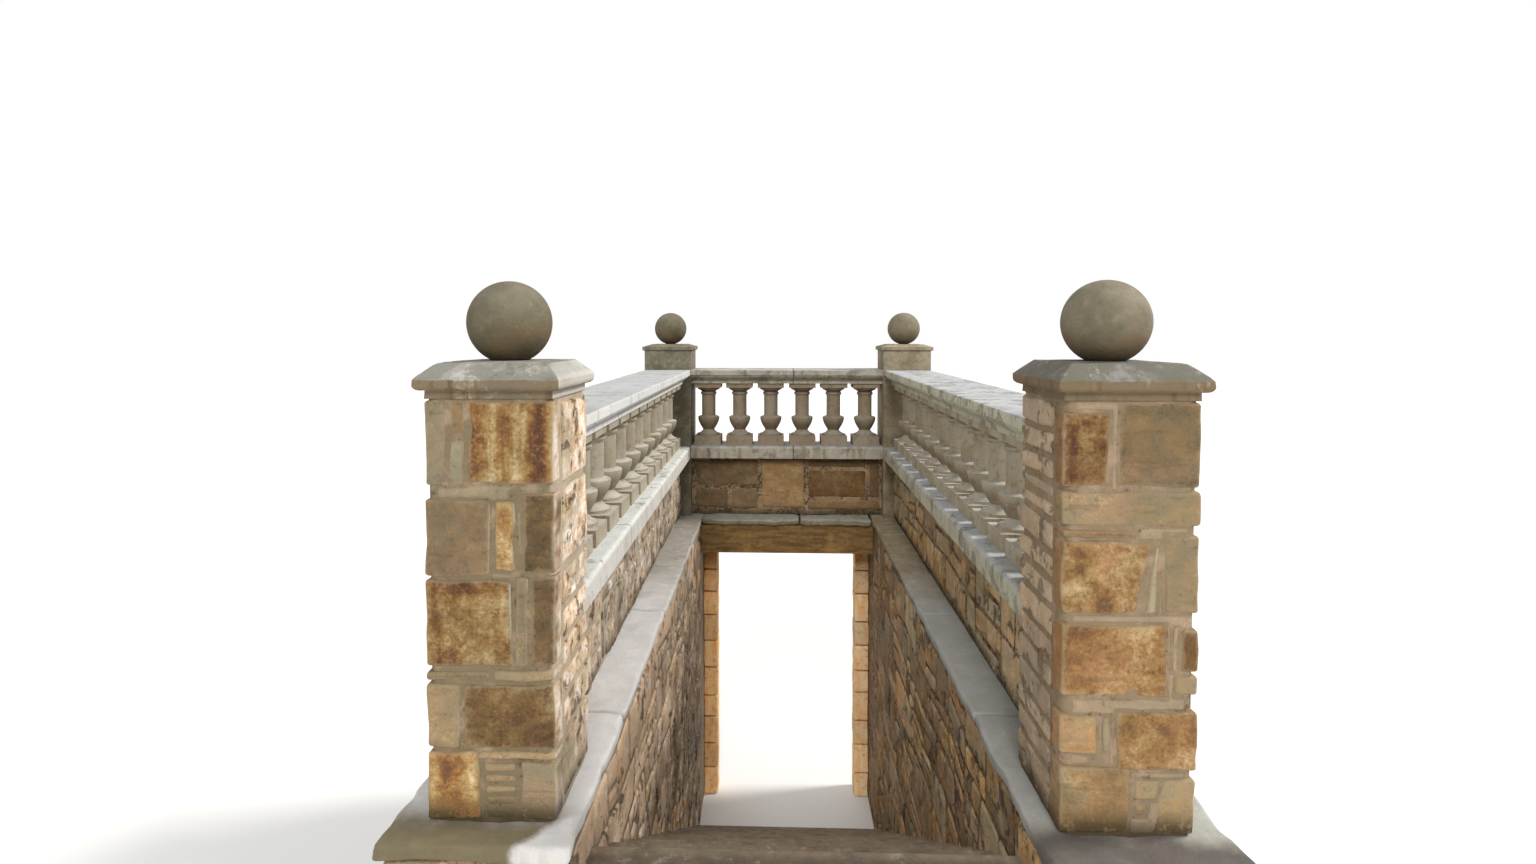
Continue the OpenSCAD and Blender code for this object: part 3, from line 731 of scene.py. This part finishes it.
def add_mesh(name, grids, looks, material, weld=False):
    """One piece from grids of points, each shaped (stones, rows, columns, 3), with their border shares. The
    border share and the look of each stone (tone, warmth, stain) are kept in the attribute named stone."""
    points, faces, colours = [], [], []
    start = 0
    for grid, border in grids:
        index = np.arange(border.size).reshape(border.shape) + start
        quad = np.stack([index[:, :-1, :-1], index[:, 1:, :-1], index[:, 1:, 1:], index[:, :-1, 1:]], -1)
        colour = np.empty(border.shape + (4,))
        colour[..., :3] = looks[:, None, None, :]
        colour[..., 3] = border
        points.append(grid.reshape(-1, 3))
        faces.append(quad.reshape(-1, 4))
        colours.append(colour.reshape(-1, 4))
        start += border.size
    points, faces, colours = np.concatenate(points), np.concatenate(faces), np.concatenate(colours)
    mesh = bpy.data.meshes.new(name)
    mesh.vertices.add(len(points))
    mesh.vertices.foreach_set("co", points.ravel())
    mesh.loops.add(faces.size)
    mesh.loops.foreach_set("vertex_index", faces.ravel().astype(np.int32))
    mesh.polygons.add(len(faces))
    mesh.polygons.foreach_set("loop_start", np.arange(0, faces.size, 4, dtype=np.int32))
    mesh.polygons.foreach_set("use_smooth", np.ones(len(faces), bool))
    mesh.update(calc_edges=True)
    attribute = mesh.attributes.new("stone", "FLOAT_COLOR", "POINT")
    attribute.data.foreach_set("color", colours.ravel().astype(np.float32))
    if weld:
        solid = bmesh.new()
        solid.from_mesh(mesh)
        bmesh.ops.remove_doubles(solid, verts=solid.verts, dist=1e-5)
        bmesh.ops.recalc_face_normals(solid, faces=solid.faces)
        solid.to_mesh(mesh)
        solid.free()
    mesh.materials.append(material)
    piece = add_object(name, mesh)
    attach(piece, "root")
    return piece


def blocks_piece(name, lows, highs, looks, rng, cells, material,
                 radius=STONE_ROUND, depth=STONE_ROUGH, wobble=STONE_BEND):
    """Rounded stone blocks as one piece."""
    seed = int(rng.integers(1, 9999))
    faces = block_faces(lows, highs, radius, cells, depth, STONE_GRAIN, seed, wobble)
    return add_mesh(name, faces, looks, material, weld=True)


# Laying stones

def lift_levels(height, lift, rng):
    """Levels of the beds of a rough coursed wall, from 0 to height, about a lift apart."""
    count = max(1, round(height / lift))
    levels = np.linspace(0, height, count + 1)
    levels[1:-1] += rng.uniform(-0.14, 0.14, count - 1) * height / count
    return levels


def lay_rubble(width, levels, margins, rng, stone):
    """Stones of a wall face as rows of (left, right, bottom, top). Each lift is cut into cells about a
    stone long, and each cell holds one stone, two or three on top of each other, or two side by side."""

    def between(first, last, low, high):
        return first + (last - first) * rng.uniform(low, high)

    rows = []
    starts, ends = (np.broadcast_to(margin, len(levels) - 1) for margin in margins)
    for (bottom, top), left, right in zip(pairwise(levels), starts, width - ends):
        count = max(1, round((right - left) / stone))
        cuts = np.linspace(left, right, count + 1)
        cuts[1:-1] += rng.uniform(-0.27, 0.27, count - 1) * (right - left) / count
        for start, end in pairwise(cuts):
            beds = [bottom, top]
            kind = rng.random()
            if kind >= 0.78:
                cut = between(start, end, 0.35, 0.65)
                rows.append((start, cut, bottom, top))
                start = cut
                beds[1:1] = [between(bottom, top, 0.4, 0.6)]
            elif kind >= 0.66:
                beds[1:1] = [between(bottom, top, 0.28, 0.38), between(bottom, top, 0.62, 0.72)]
            elif kind >= 0.36:
                beds[1:1] = [between(bottom, top, 0.35, 0.65)]
            rows += [(start, end, low, high) for low, high in pairwise(beds)]
    return np.array(rows)


def stone_corners(rows, rng, warp):
    """The four corners of each stone, half a joint inside its place, then moved by a slow noise that
    neighbours share, so that beds and joints run crooked, and a little on their own."""
    left, bottom = rows[:, 0] + JOINT / 2, rows[:, 2] + JOINT / 2
    right, top = rows[:, 1] - JOINT / 2, rows[:, 3] - JOINT / 2
    corners = np.array([(left, bottom), (right, bottom), (right, top), (left, top)]).transpose(2, 0, 1)
    seed = int(rng.integers(1, 9999))
    bend = np.stack([wave(with_third(corners, 0.0), 0.21, seed + k) for k in (0, 1)], -1)
    return corners + warp * bend + rng.uniform(-STONE_JITTER, STONE_JITTER, corners.shape)


def stone_looks(count, rng, tone, warmth, stained):
    """Tone, warmth and stain of each stone, drawn at random within the wall's own ranges."""
    stain = np.where(rng.random(count) < stained, rng.uniform(0.4, 1.0, count), 0.0)
    return np.stack([rng.uniform(*tone, count), rng.uniform(*warmth, count), stain], 1)


def wall_face(origin, outward, width, levels, rng, margins=(0.0, 0.0), keep=None, relief=STONE_RELIEF,
              cells=(5, 4), stone=0.34, warp=0.012, rows=None):
    """Grids of the stones of one upright wall face. It starts at origin and runs to the left of outward."""
    origin, outward = np.array(origin, float), np.array(outward, float)
    across = np.array([-outward[1], outward[0], 0.0])
    if rows is None:
        rows = lay_rubble(width, levels, margins, rng, stone)
    if keep is not None:
        rows = rows[keep(origin + rows[:, :1] * across, origin + rows[:, 1:2] * across, rows)]
    corners = stone_corners(rows, rng, warp)
    seed = int(rng.integers(1, 9999))
    limits = ((0.0, levels[0]), (width, levels[-1]))
    return pillow_faces(corners, origin, across, outward, relief, cells, seed, limits)


def clad_face(name, looks, origin, outward, width, levels, rng, **laying):
    """The stones of one wall face as a piece of rubble. The looks are ranges of tone and warmth and the
    share of stained stones."""
    grid, border = wall_face(origin, outward, width, levels, rng, **laying)
    add_mesh(name, [(grid, border)], stone_looks(len(grid), rng, *looks), RUBBLE)


# Front piers. Stones of the front face in millimetres: from and to across from the pier's left edge,
# from and to above the ledge, lean of the left and of the right end, then tone, warmth and stain.
PIER_STONES = {"left": [
    (0, 66, 958, 1203, 0, 0, 0.22, 0.02, 0.0), (71, 122, 1098, 1203, 0, 0, 0.22, 0.36, 0.0),
    (72, 120, 958, 1092, 0, 0, 0.40, -0.1, 0.0), (126, 375, 964, 1203, 0, 0, 0.29, 0.70, 1.0),
    (0, 190, 700, 922, 0, 0, 0.10, 0.32, 0.0), (200, 262, 716, 918, 0, 0, 0.44, 0.78, 0.75),
    (280, 375, 714, 944, 0, 0, -0.11, 0.46, 0.0),
    (0, 252, 444, 694, 0, -8, 0.16, 0.80, 0.92), (258, 298, 445, 708, 0, 0, 0.18, 0.14, 0.0),
    (303, 375, 448, 708, 0, 0, -0.12, 0.46, 0.0),
    (0, 184, 404, 434, 0, 0, 0.10, 0.40, 0.0), (190, 375, 403, 438, 0, 0, 0.50, 0.20, 0.0),
    (0, 102, 212, 398, 0, 0, 0.46, 0.24, 0.0), (107, 375, 208, 397, 0, 0, -0.02, 0.60, 0.50),
    (0, 154, 3, 205, 0, 0, 0.62, 0.86, 0.88), (146, 375, 176, 204, 14, 0, 0.52, 0.28, 0.0),
    (164, 257, 140, 170, 0, 0, 0.46, 0.24, 0.0), (164, 257, 108, 136, 0, 0, 0.28, 0.34, 0.0),
    (164, 257, 78, 104, 0, 0, 0.52, 0.24, 0.0), (164, 257, 44, 74, 0, 0, 0.22, 0.28, 0.0),
    (164, 257, 4, 40, 0, 0, 0.30, 0.14, 0.0), (264, 375, 4, 172, 0, 0, 0.36, 0.10, 0.0),
], "right": [
    (0, 129, 966, 1178, 0, 4, 0.10, 0.66, 1.0), (150, 375, 964, 1203, 0, 0, 0.12, 0.34, 0.0),
    (0, 375, 860, 958, 0, 0, 0.40, 0.26, 0.0),
    (0, 206, 826, 851, 0, 0, 0.16, 0.60, 0.2), (0, 226, 616, 822, 0, 44, 0.28, 0.66, 0.72),
    (238, 262, 616, 812, 24, 12, 0.66, -0.1, 0.0), (276, 375, 620, 840, 0, 0, 0.31, 0.18, 0.0),
    (0, 292, 384, 592, 0, -6, 0.36, 0.80, 0.74), (324, 375, 454, 578, 0, 0, 0.04, 0.76, 0.25),
    (310, 375, 390, 448, 0, 0, 0.50, 0.22, 0.0), (301, 319, 456, 584, 0, 0, 0.60, 0.10, 0.0),
    (0, 108, 226, 338, 0, 0, 0.60, 0.60, 0.0), (118, 142, 232, 336, 0, 0, 0.50, 0.08, 0.0),
    (152, 375, 180, 350, 0, 0, 0.30, 0.76, 0.66),
    (0, 196, 4, 196, 0, 0, 0.36, 0.46, 0.1), (202, 274, 96, 160, 0, 14, 0.62, 0.30, 0.0),
    (204, 240, 50, 88, 0, 6, 0.42, 0.40, 0.0), (264, 375, 4, 160, 34, 0, 0.64, 0.28, 0.0),
]}

# Stains on those stones in millimetres: middle across and above the ledge, half width, half height, then
# how much creamier (above 0) or rustier (below 0) the middle is.
PIER_STAINS = {"left": [
    (150, 1050, 16, 120, -0.20), (146, 1160, 14, 60, -0.06), (194, 1083, 20, 220, 0.16),
    (196, 985, 26, 30, 0.12), (232, 1090, 20, 60, -0.08), (272, 1083, 24, 160, 0.08),
    (328, 1083, 22, 220, -0.24), (364, 1083, 10, 160, 0.04), (120, 672, 100, 16, -0.20),
    (24, 600, 16, 70, -0.10), (150, 570, 90, 60, 0.05), (66, 472, 44, 30, -0.20), (185, 470, 60, 22, 0.14),
    (222, 880, 20, 40, -0.12), (245, 760, 16, 50, 0.20), (260, 350, 90, 40, 0.06), (150, 240, 60, 40, 0.06),
    (340, 260, 40, 60, -0.12), (56, 140, 20, 70, -0.16), (18, 120, 14, 90, 0.10), (92, 90, 16, 60, -0.08),
    (132, 120, 22, 90, 0.14), (70, 20, 60, 24, 0.04), (60, 850, 30, 70, -0.10), (150, 760, 40, 60, 0.08),
], "right": [
    (28, 1080, 14, 130, -0.14), (76, 1080, 8, 110, 0.06), (104, 1080, 8, 120, -0.08),
    (250, 1180, 120, 24, -0.16), (168, 1080, 16, 110, -0.14), (260, 975, 110, 10, -0.20),
    (110, 834, 100, 9, -0.18), (60, 790, 60, 14, -0.12), (150, 740, 60, 30, 0.04), (40, 678, 34, 22, 0.18),
    (118, 652, 34, 22, -0.24), (40, 640, 40, 12, -0.04), (55, 565, 40, 16, -0.17), (185, 570, 60, 20, 0.12),
    (140, 490, 90, 50, -0.01), (50, 440, 40, 36, -0.06), (130, 400, 36, 16, 0.15),
    (290, 300, 24, 30, -0.12), (330, 200, 40, 26, 0.16), (200, 260, 40, 60, -0.02), (60, 140, 50, 50, 0.08),
    (120, 60, 60, 40, -0.06),
]}
PIER_BEDS = {"left": [0, 207, 400, 700, 945, 1203], "right": [0, 200, 362, 605, 855, 962, 1203]}


def add_stains(piece, stains, corner):
    """Keeps the sum of the listed stains, each a bell shape over the front, in the attribute placed_stain."""
    mesh = piece.data
    points = np.empty(3 * len(mesh.vertices), np.float32)
    mesh.vertices.foreach_get("co", points)
    x, y, z = ((points.reshape(-1, 3) - corner) / MM).T
    total = np.zeros(len(x))
    for mid_x, mid_z, wide, tall, shift in stains:
        total += shift * np.exp(-((x - mid_x) / wide) ** 2 - ((z - mid_z) / tall) ** 2)
    total *= y < PIER_DEPTH_OF_FRONT / MM
    attribute = mesh.attributes.new("placed_stain", "FLOAT", "POINT")
    attribute.data.foreach_set("value", total.astype(np.float32))


def pier_stones(side, rng):
    """A mortar body and rounded stones on all four sides: the front ones as listed, the rest at random."""
    name = "front_pier_" + side
    low, high = box(name)
    listed = np.array(PIER_STONES[side], float)
    front = listed[:, :4] * MM
    lows = [(low[0] + x0, low[1], low[2] + z0) for x0, x1, z0, z1 in front]
    highs = [(low[0] + x1, low[1] + PIER_DEPTH_OF_FRONT, low[2] + z1) for x0, x1, z0, z1 in front]
    looks = list(listed[:, 6:])
    width = high[0] - low[0]
    y0 = low[1] + PIER_DEPTH_OF_FRONT + JOINT
    for bottom, top in pairwise(PIER_BEDS[side]):
        cut = width * rng.uniform(0.35, 0.65)
        for x0, x1 in [(0, cut - JOINT / 2), (cut + JOINT / 2, width)]:
            shares = [[0, 1], [0, rng.uniform(0.35, 0.65), 1], [0, 0.3, 0.62, 1]][rng.integers(0, 3)]
            for a, b in pairwise(low[2] + bottom * MM + np.array(shares) * (top - bottom) * MM):
                lows.append((low[0] + x0, y0, a + JOINT / 2))
                highs.append((low[0] + x1, high[1], b - JOINT / 2))
                looks.append(stone_looks(1, rng, (0.6, 1.0), (0.0, 0.35), 0.2)[0])
    leans = np.zeros((len(lows), 2))
    leans[:len(listed)] = listed[:, 4:6] * MM
    lows, highs, looks = np.array(lows), np.array(highs), np.array(looks)
    rubble = {"left": RUBBLE, "right": RUBBLE_GREY}
    for part, group, cells, material in [
        ("front", slice(0, len(listed)), (15, 2, 12), SANDSTONE[side]),
        ("back", slice(len(listed), None), (6, 9, 6), rubble[side]),
    ]:
        seed = int(rng.integers(1, 9999))
        faces = block_faces(lows[group], highs[group], STONE_ROUND, cells, STONE_ROUGH, PIER_GRAIN, seed,
                            STONE_BEND, leans[group], reach=5.0)
        piece = add_mesh("pier_stones_%s_%s" % (part, side), faces, looks[group], material,
                         weld=True)
        if part == "front":
            add_stains(piece, PIER_STAINS[side], low)
    inset = np.array([PIER_MORTAR_INSET, PIER_MORTAR_INSET, -PIER_MORTAR_ROUND])
    core = block_faces([low + inset], [high - inset], PIER_MORTAR_ROUND, (10, 10, 40), 0.002, 0.05, 5)
    piece = add_mesh("pier_mortar_" + side, core, np.zeros((1, 3)), MORTAR[side], True)
    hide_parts(name)


def pier_pointing(side):
    """The ribbon of mortar that stands out midway between the front stones of a pier. A sheet over the front
    stands out by a smooth step of the distance to the nearest stone, and lies within the mortar elsewhere."""
    low, high = box("front_pier_" + side)
    rows = np.array(PIER_STONES[side])[:, :6, None, None] * MM
    left, right, bottom, top, lean_left, lean_right = (rows[:, k] for k in range(6))
    x, z = np.meshgrid(np.linspace(PIER_MORTAR_ROUND, high[0] - low[0] - PIER_MORTAR_ROUND, 90),
                       np.linspace(0.0, high[2] - low[2], 321))
    up = np.clip((z - bottom) / (top - bottom), 0, 1)
    aside = np.maximum(left + lean_left * up - x, x - right - lean_right * up)
    above = np.maximum(bottom - z, z - top)
    gap = np.hypot(np.maximum(aside, 0), np.maximum(above, 0)) + np.minimum(np.maximum(aside, above), 0)
    place = np.stack([low[0] + x, np.full_like(x, low[1]), low[2] + z], -1)
    edge = POINTING_EDGE * (1 + 0.8 * wave(place, 0.04, 43))
    rise = np.clip((gap.min(axis=0) - edge) / POINTING_SOFT, 0, 1)
    rise *= np.clip(np.minimum(x - PIER_MORTAR_ROUND, x[0, -1] - x) / 0.012, 0, 1)
    rise *= np.clip(0.8 + 0.6 * wave(place, 0.09, 47), 0.2, 1)
    rise *= np.clip(np.minimum(z, z[-1, 0] - z) / 0.01, 0, 1)
    smooth = rise * rise * (3 - 2 * rise)
    place[..., 1] += PIER_MORTAR_INSET + POINTING_SINK - (POINTING_SINK + POINTING_RELIEF) * smooth
    sheet = [(place[None], np.zeros((1,) + x.shape))]
    add_mesh("pier_pointing_" + side, sheet, np.zeros((1, 3)), POINTING[side])


# Walls

def above_steps(start, end, rows):
    """Which stones show over the steps, whose treads rise along a slope through the nosings."""
    first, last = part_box("step_01")[1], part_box("step_12")[1]
    slope = (last.z - first.z) / (last.y - first.y)
    middle = (start[:, 1] + end[:, 1]) / 2
    return rows[:, 3] > first.z + (middle - first.y) * slope - BELOW_TREADS


def clad_side_wall(side, rng):
    """Stones on the inner, outer, front and rear faces of a side wall, with corner stones that turn them,
    long on one face where they are short on the other."""
    way = -1 if side == "left" else 1
    levels = lift_levels(WALL_TOP, SIDE_LIFT, rng)
    long, short = (np.where(np.arange(len(levels) - 1) % 2 == k, CORNER_LONG, CORNER_SHORT) for k in (0, 1))
    x_in, x_out = way * WALL_IN, way * WALL_OUT
    inner_start, outer_start = (WALL_FRONT, WALL_REAR) if side == "left" else (REAR_WALL, WALL_FRONT)
    # The left inner face's wider, paler range of tone is partly the stone's own, partly painted sunlight
    inner_looks = {"left": ((0.3, 2.1), (0.2, 0.7), 0.25), "right": ((0.3, 1.2), (0.0, 0.7), 0.25)}[side]
    looks = ((0.35, 0.85), (0.0, 0.7), 0.25)
    plain = dict(cells=(4, 3), stone=0.30, warp=0.02)
    inner = dict(cells=(6, 5), stone=0.28, warp=0.05, keep=above_steps, relief=INNER_RELIEF)
    for number, (look, x, y, outward, width, margins, laying) in enumerate([
        (inner_looks, x_in, inner_start, (-way, 0, 0), REAR_WALL - WALL_FRONT, (long, 0)[::-way], inner),
        (looks, x_out, outer_start, (way, 0, 0), WALL_REAR - WALL_FRONT, (long, long), plain),
        (looks, min(x_in, x_out), WALL_FRONT, (0, -1, 0), WALL_OUT - WALL_IN, (short, short), plain),
        (looks, max(x_in, x_out), WALL_REAR, (0, 1, 0), WALL_OUT - WALL_IN, (0, short)[::-way], plain),
    ]):
        name = "wall_stones_%s_%d" % (side, number)
        clad_face(name, look, (x, y, 0), outward, width, levels, rng, margins=margins, **laying)
    boxes = []
    for corner, ways in [
        ((x_in, WALL_FRONT), (way, 1)), ((x_out, WALL_FRONT), (-way, 1)), ((x_out, WALL_REAR), (-way, -1)),
    ]:
        for bottom, top, *reach in zip(levels[:-1], levels[1:], short, long):
            ends = [sorted([at - to * STONE_RELIEF, at + to * (far - JOINT / 2)])
                    for at, to, far in zip(corner, ways, reach)]
            boxes.append(ends + [[bottom + JOINT / 2, top - JOINT / 2]])
    boxes = np.array(boxes)
    looks = stone_looks(len(boxes), rng, (0.45, 0.8), (0.1, 0.7), 0.3)
    blocks_piece("wall_corners_" + side, boxes[..., 0], boxes[..., 1], looks, rng,
                 (5, 5, 5), RUBBLE)


# Stones over the doorway in millimetres: from and to across from the left rear pier's side, from and to
# above the ledge, then tone, warmth and stain
REAR_STONES = [
    (30, 518, 208, 428, 0.0, 0.42, 0.0), (20, 284, 36, 202, 0.0, 0.36, 0.0),
    (292, 518, 36, 202, 0.16, 0.32, 0.0), (526, 868, 38, 434, 0.42, 0.48, 0.1),
    (884, 1336, 122, 350, -0.02, 0.82, 0.5), (880, 1440, 24, 116, 0.26, 0.44, 0.1),
    (884, 1336, 356, 430, 0.02, 0.40, 0.0), (1344, 1440, 122, 430, 0.0, 0.40, 0.0),
]


def clad_dwarf_walls(rng):
    """Stones on both faces of the three dwarf walls; those over the doorway are placed one by one."""
    for side, tones in (("left", (-0.4, 0.4)), ("right", (0.7, 1.1))):
        low, high = box("dwarf_wall_" + side)
        levels = lift_levels(high[2] - low[2], LOW_LIFT, rng)
        faces = [((high[0], low[1], low[2]), (1, 0, 0)), ((low[0], high[1], low[2]), (-1, 0, 0))]
        for number, (origin, outward) in enumerate(faces):
            clad_face("dwarf_stones_%s_%d" % (side, number), (tones, (-0.1, 0.4), 0.15), origin, outward,
                      high[1] - low[1], levels, rng, cells=(7, 6), stone=0.30, warp=0.022)
    low, high = box("dwarf_wall_rear")
    width = high[0] - low[0]
    levels = lift_levels(high[2] - low[2], LOW_LIFT, rng)
    listed = np.array(REAR_STONES)
    face = wall_face(low, (0, -1, 0), width, levels, rng, relief=STONE_RELIEF * 0.8, cells=(12, 9),
                     warp=0.006, rows=listed[:, :4] * MM)
    add_mesh("dwarf_stones_rear_0", [face], listed[:, 4:], SANDSTONE["left"])
    clad_face("dwarf_stones_rear_1", ((0.4, 0.8), (0.0, 0.8), 0.3), (high[0], high[1], low[2]), (0, 1, 0),
              width, levels, rng, cells=(6, 5), warp=0.02)


def clad_stair_front(rng):
    """Stones on the upright face of the masonry under the steps, at the head of the stair."""
    low, high = box("stair_core")
    levels = lift_levels(high[2] - STAIR_HEAD_GAP, LOW_LIFT, rng)
    clad_face("stair_front_stones", ((0.35, 0.8), (0.0, 0.7), 0.25), (low[0], low[1], 0), (0, -1, 0),
              high[0] - low[0], levels, rng)


def jamb_blocks(rng):
    """Squared orange-ochre blocks of the two door jambs, one above the other."""
    for side in ("left", "right"):
        low, high = box("door_jamb_" + side)
        levels = lift_levels(high[2] - low[2], SIDE_LIFT, rng) + low[2]
        lows = [(low[0], low[1], bottom + JAMB_JOINT / 2) for bottom in levels[:-1]]
        highs = [(high[0], high[1], top - JAMB_JOINT / 2) for top in levels[1:]]
        looks = stone_looks(len(lows), rng, (0.0, 1.0), (0.0, 1.0), 0.0)
        name = "jamb_blocks_" + side
        piece = blocks_piece(name, lows, highs, looks, rng, (4, 6, 5), JAMB[side], JAMB_ROUND)
        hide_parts("door_jamb_" + side)


def ledge_slabs(rng):
    """The ledges as worn slabs laid end to end, their edges rounded and crooked."""
    for side, axis, cells in (("left", 1, (10, 18, 3)), ("right", 1, (10, 18, 3)), ("rear", 0, (18, 8, 3))):
        low, high = box("ledge_" + side)
        count = max(1, round((high[axis] - low[axis]) / SLAB_LENGTH))
        cuts = np.linspace(low[axis], high[axis], count + 1)
        cuts[1:-1] += rng.uniform(-0.12, 0.12, count - 1)
        lows, highs = np.tile(low, (count, 1)), np.tile(high, (count, 1))
        lows[1:, axis] = cuts[1:-1] + SLAB_JOINT / 2
        highs[:-1, axis] = cuts[1:-1] - SLAB_JOINT / 2
        looks = np.full((count, 3), 0.5)
        piece = blocks_piece("slabs_" + side, lows, highs, looks, rng, cells, SLAB[side],
                             SLAB_ROUND, SLAB_ROUGH, SLAB_BEND)
        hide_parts("ledge_" + side)


def worn_cap(side):
    """A front cap with worn arrises. Its outline, from the middle of the bed up over the rounded edge and the
    slope to the middle of the top, is swept round a square with rounded corners. Each point then moves
    inwards by noise, and further at the two arrises by a slower noise, so that the edges run crooked."""
    low, high = box("front_cap_" + side)
    edge = (high[0] - low[0]) / 2
    turn = np.radians(np.linspace(-90, 0, 8))
    outline = [(0, 0), (edge - CAP_BED_SETBACK, 0), (edge - CAP_BED_SETBACK, CAP_BED_HEIGHT)]
    arc = edge - CAP_EDGE_ROUND * (1 - np.cos(turn)), CAP_BED_HEIGHT + CAP_EDGE_ROUND * (1 + np.sin(turn))
    top = high[2] - low[2]
    rest = [(edge, CAP_BED_HEIGHT + CAP_EDGE_HEIGHT), (edge - CAP_SLOPE_RUN, top), (0, top)]
    outline = np.array(outline + list(zip(*arc)) + rest)
    steps = np.concatenate([[0], np.cumsum(np.linalg.norm(np.diff(outline, axis=0), axis=1))])
    along = np.unique(np.concatenate([steps, np.arange(0, steps[-1], CAP_STEP)]))
    half, level = np.interp(along, steps, outline[:, 0]), np.interp(along, steps, outline[:, 1])
    slope = np.stack([np.gradient(level, along), -np.gradient(half, along)], -1)
    slope /= np.linalg.norm(slope, axis=1, keepdims=True)
    run = np.linspace(-1, 1, 53)[:-1]
    flat = np.ones(len(run))
    ring = np.concatenate([
        np.stack([run, -flat], 1), np.stack([flat, run], 1), np.stack([-run, flat], 1),
        np.stack([-flat, -run], 1), [[-1.0, -1.0]],
    ])
    wide = half[:, None, None]
    corner = np.minimum(CAP_CORNER, wide * 0.5 + 1e-6)
    point = ring[None] * wide
    inner = np.clip(point, corner - wide, wide - corner)
    way = point - inner
    way = way / np.maximum(np.linalg.norm(way, axis=-1, keepdims=True), 1e-9)
    place = with_third(inner + way * corner, level[:, None, None]) + [*(low + high)[:2] / 2, low[2]]
    outward = with_third(way * slope[:, None, :1], slope[:, None, 1:])
    free = np.clip((half - 0.10) / 0.03, 0, 1) * np.clip(level / 0.02, 0, 1)
    worn = CAP_WEAR * (1 - rough(place, 0.07, 31)) / 2
    crooked = np.clip(0.35 + 0.9 * wave(place, 0.06, 37) + 0.4 * wave(place, 0.02, 41), 0, 1)
    for arris, bite in zip(steps[-3:-1], CAP_ARRIS_WEAR):
        near = np.exp(-((along - arris) / CAP_ARRIS_REACH) ** 2)[:, None]
        worn = worn + bite * near * (0.1 + 0.9 * crooked)
    place = place - outward * (worn * free[:, None])[..., None]
    grids = [(place[None], np.zeros((1,) + worn.shape))]
    piece = add_mesh("worn_cap_" + side, grids, np.full((1, 3), 0.5), CAP[side], weld=True)
    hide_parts("front_cap_" + side)


rng = np.random.default_rng(SEED)
pier_stones("left", rng)
pier_stones("right", rng)
pier_pointing("left")
pier_pointing("right")
clad_side_wall("left", rng)
clad_side_wall("right", rng)
clad_dwarf_walls(rng)
clad_stair_front(rng)
jamb_blocks(rng)
ledge_slabs(rng)
worn_cap("left")
worn_cap("right")


# Stage, light and camera

def add_floor(half=60.0):
    """A wide pale floor on which the object stands."""
    mesh = bpy.data.meshes.new("floor")
    corners = [(-half, -half, 0), (half, -half, 0), (half, half, 0), (-half, half, 0)]
    mesh.from_pydata(corners, [], [(0, 1, 2, 3)])
    material = bpy.data.materials.new("floor")
    material.use_nodes = True
    sockets = material.node_tree.nodes["Principled BSDF"].inputs
    sockets["Base Color"].default_value = (0.80, 0.80, 0.79, 1)
    sockets["Roughness"].default_value = 0.9
    sockets["Specular IOR Level"].default_value = 0.1
    mesh.materials.append(material)
    add_object("floor", mesh)


def add_sun(name, strength, softness, colour, height, bearing):
    """A sun with its height over the horizon, and its bearing counted from the front towards the right."""
    sun = bpy.data.lights.new(name, "SUN")
    sun.energy = strength
    sun.angle = math.radians(softness)
    sun.color = colour
    add_object(name, sun).rotation_euler = (math.radians(90 - height), 0, math.radians(bearing))


def add_sky():
    """An even sky: one strength lights the object, and the camera sees plain white."""
    world = bpy.data.worlds.new("sky")
    bpy.context.scene.world = world
    world.use_nodes = True
    tree = world.node_tree
    tree.nodes.clear()
    choose = tree.nodes.new("ShaderNodeMixShader")
    tree.links.new(tree.nodes.new("ShaderNodeLightPath").outputs["Is Camera Ray"], choose.inputs[0])
    for socket, colour, strength in ((1, (0.98, 0.99, 1.0, 1), 0.64), (2, (1, 1, 1, 1), 1.0)):
        background = tree.nodes.new("ShaderNodeBackground")
        background.inputs["Color"].default_value = colour
        background.inputs["Strength"].default_value = strength
        tree.links.new(background.outputs[0], choose.inputs[socket])
    tree.links.new(choose.outputs[0], tree.nodes.new("ShaderNodeOutputWorld").inputs[0])


def add_camera():
    """The photograph's camera: focal length 770 pixels of 1536 across, middle point at 748.8, 356.9."""
    width, height = 1536, 864
    focal, mid_u, mid_v = 770.0, 748.8, 356.9
    data = bpy.data.cameras.new("camera")
    data.sensor_fit = "HORIZONTAL"
    data.sensor_width = 36.0
    data.lens = focal / width * data.sensor_width
    data.shift_x = (width / 2 - mid_u) / width
    data.shift_y = (mid_v - height / 2) / width
    data.clip_start = 0.05
    data.clip_end = 300
    camera = add_object("camera", data)
    camera.location = (-0.084, -4.127, 3.691)
    camera.rotation_euler = (math.radians(90 - 1.785), 0, math.radians(2.0))
    bpy.context.scene.camera = camera


add_floor()
add_sky()
add_sun("key", 3.0, 12, (1.0, 0.975, 0.945), 40, 98)
add_sun("fill", 1.7, 24, (1.0, 0.985, 0.96), 36, -3)
add_camera()
bpy.context.scene.view_settings.view_transform = "Standard"
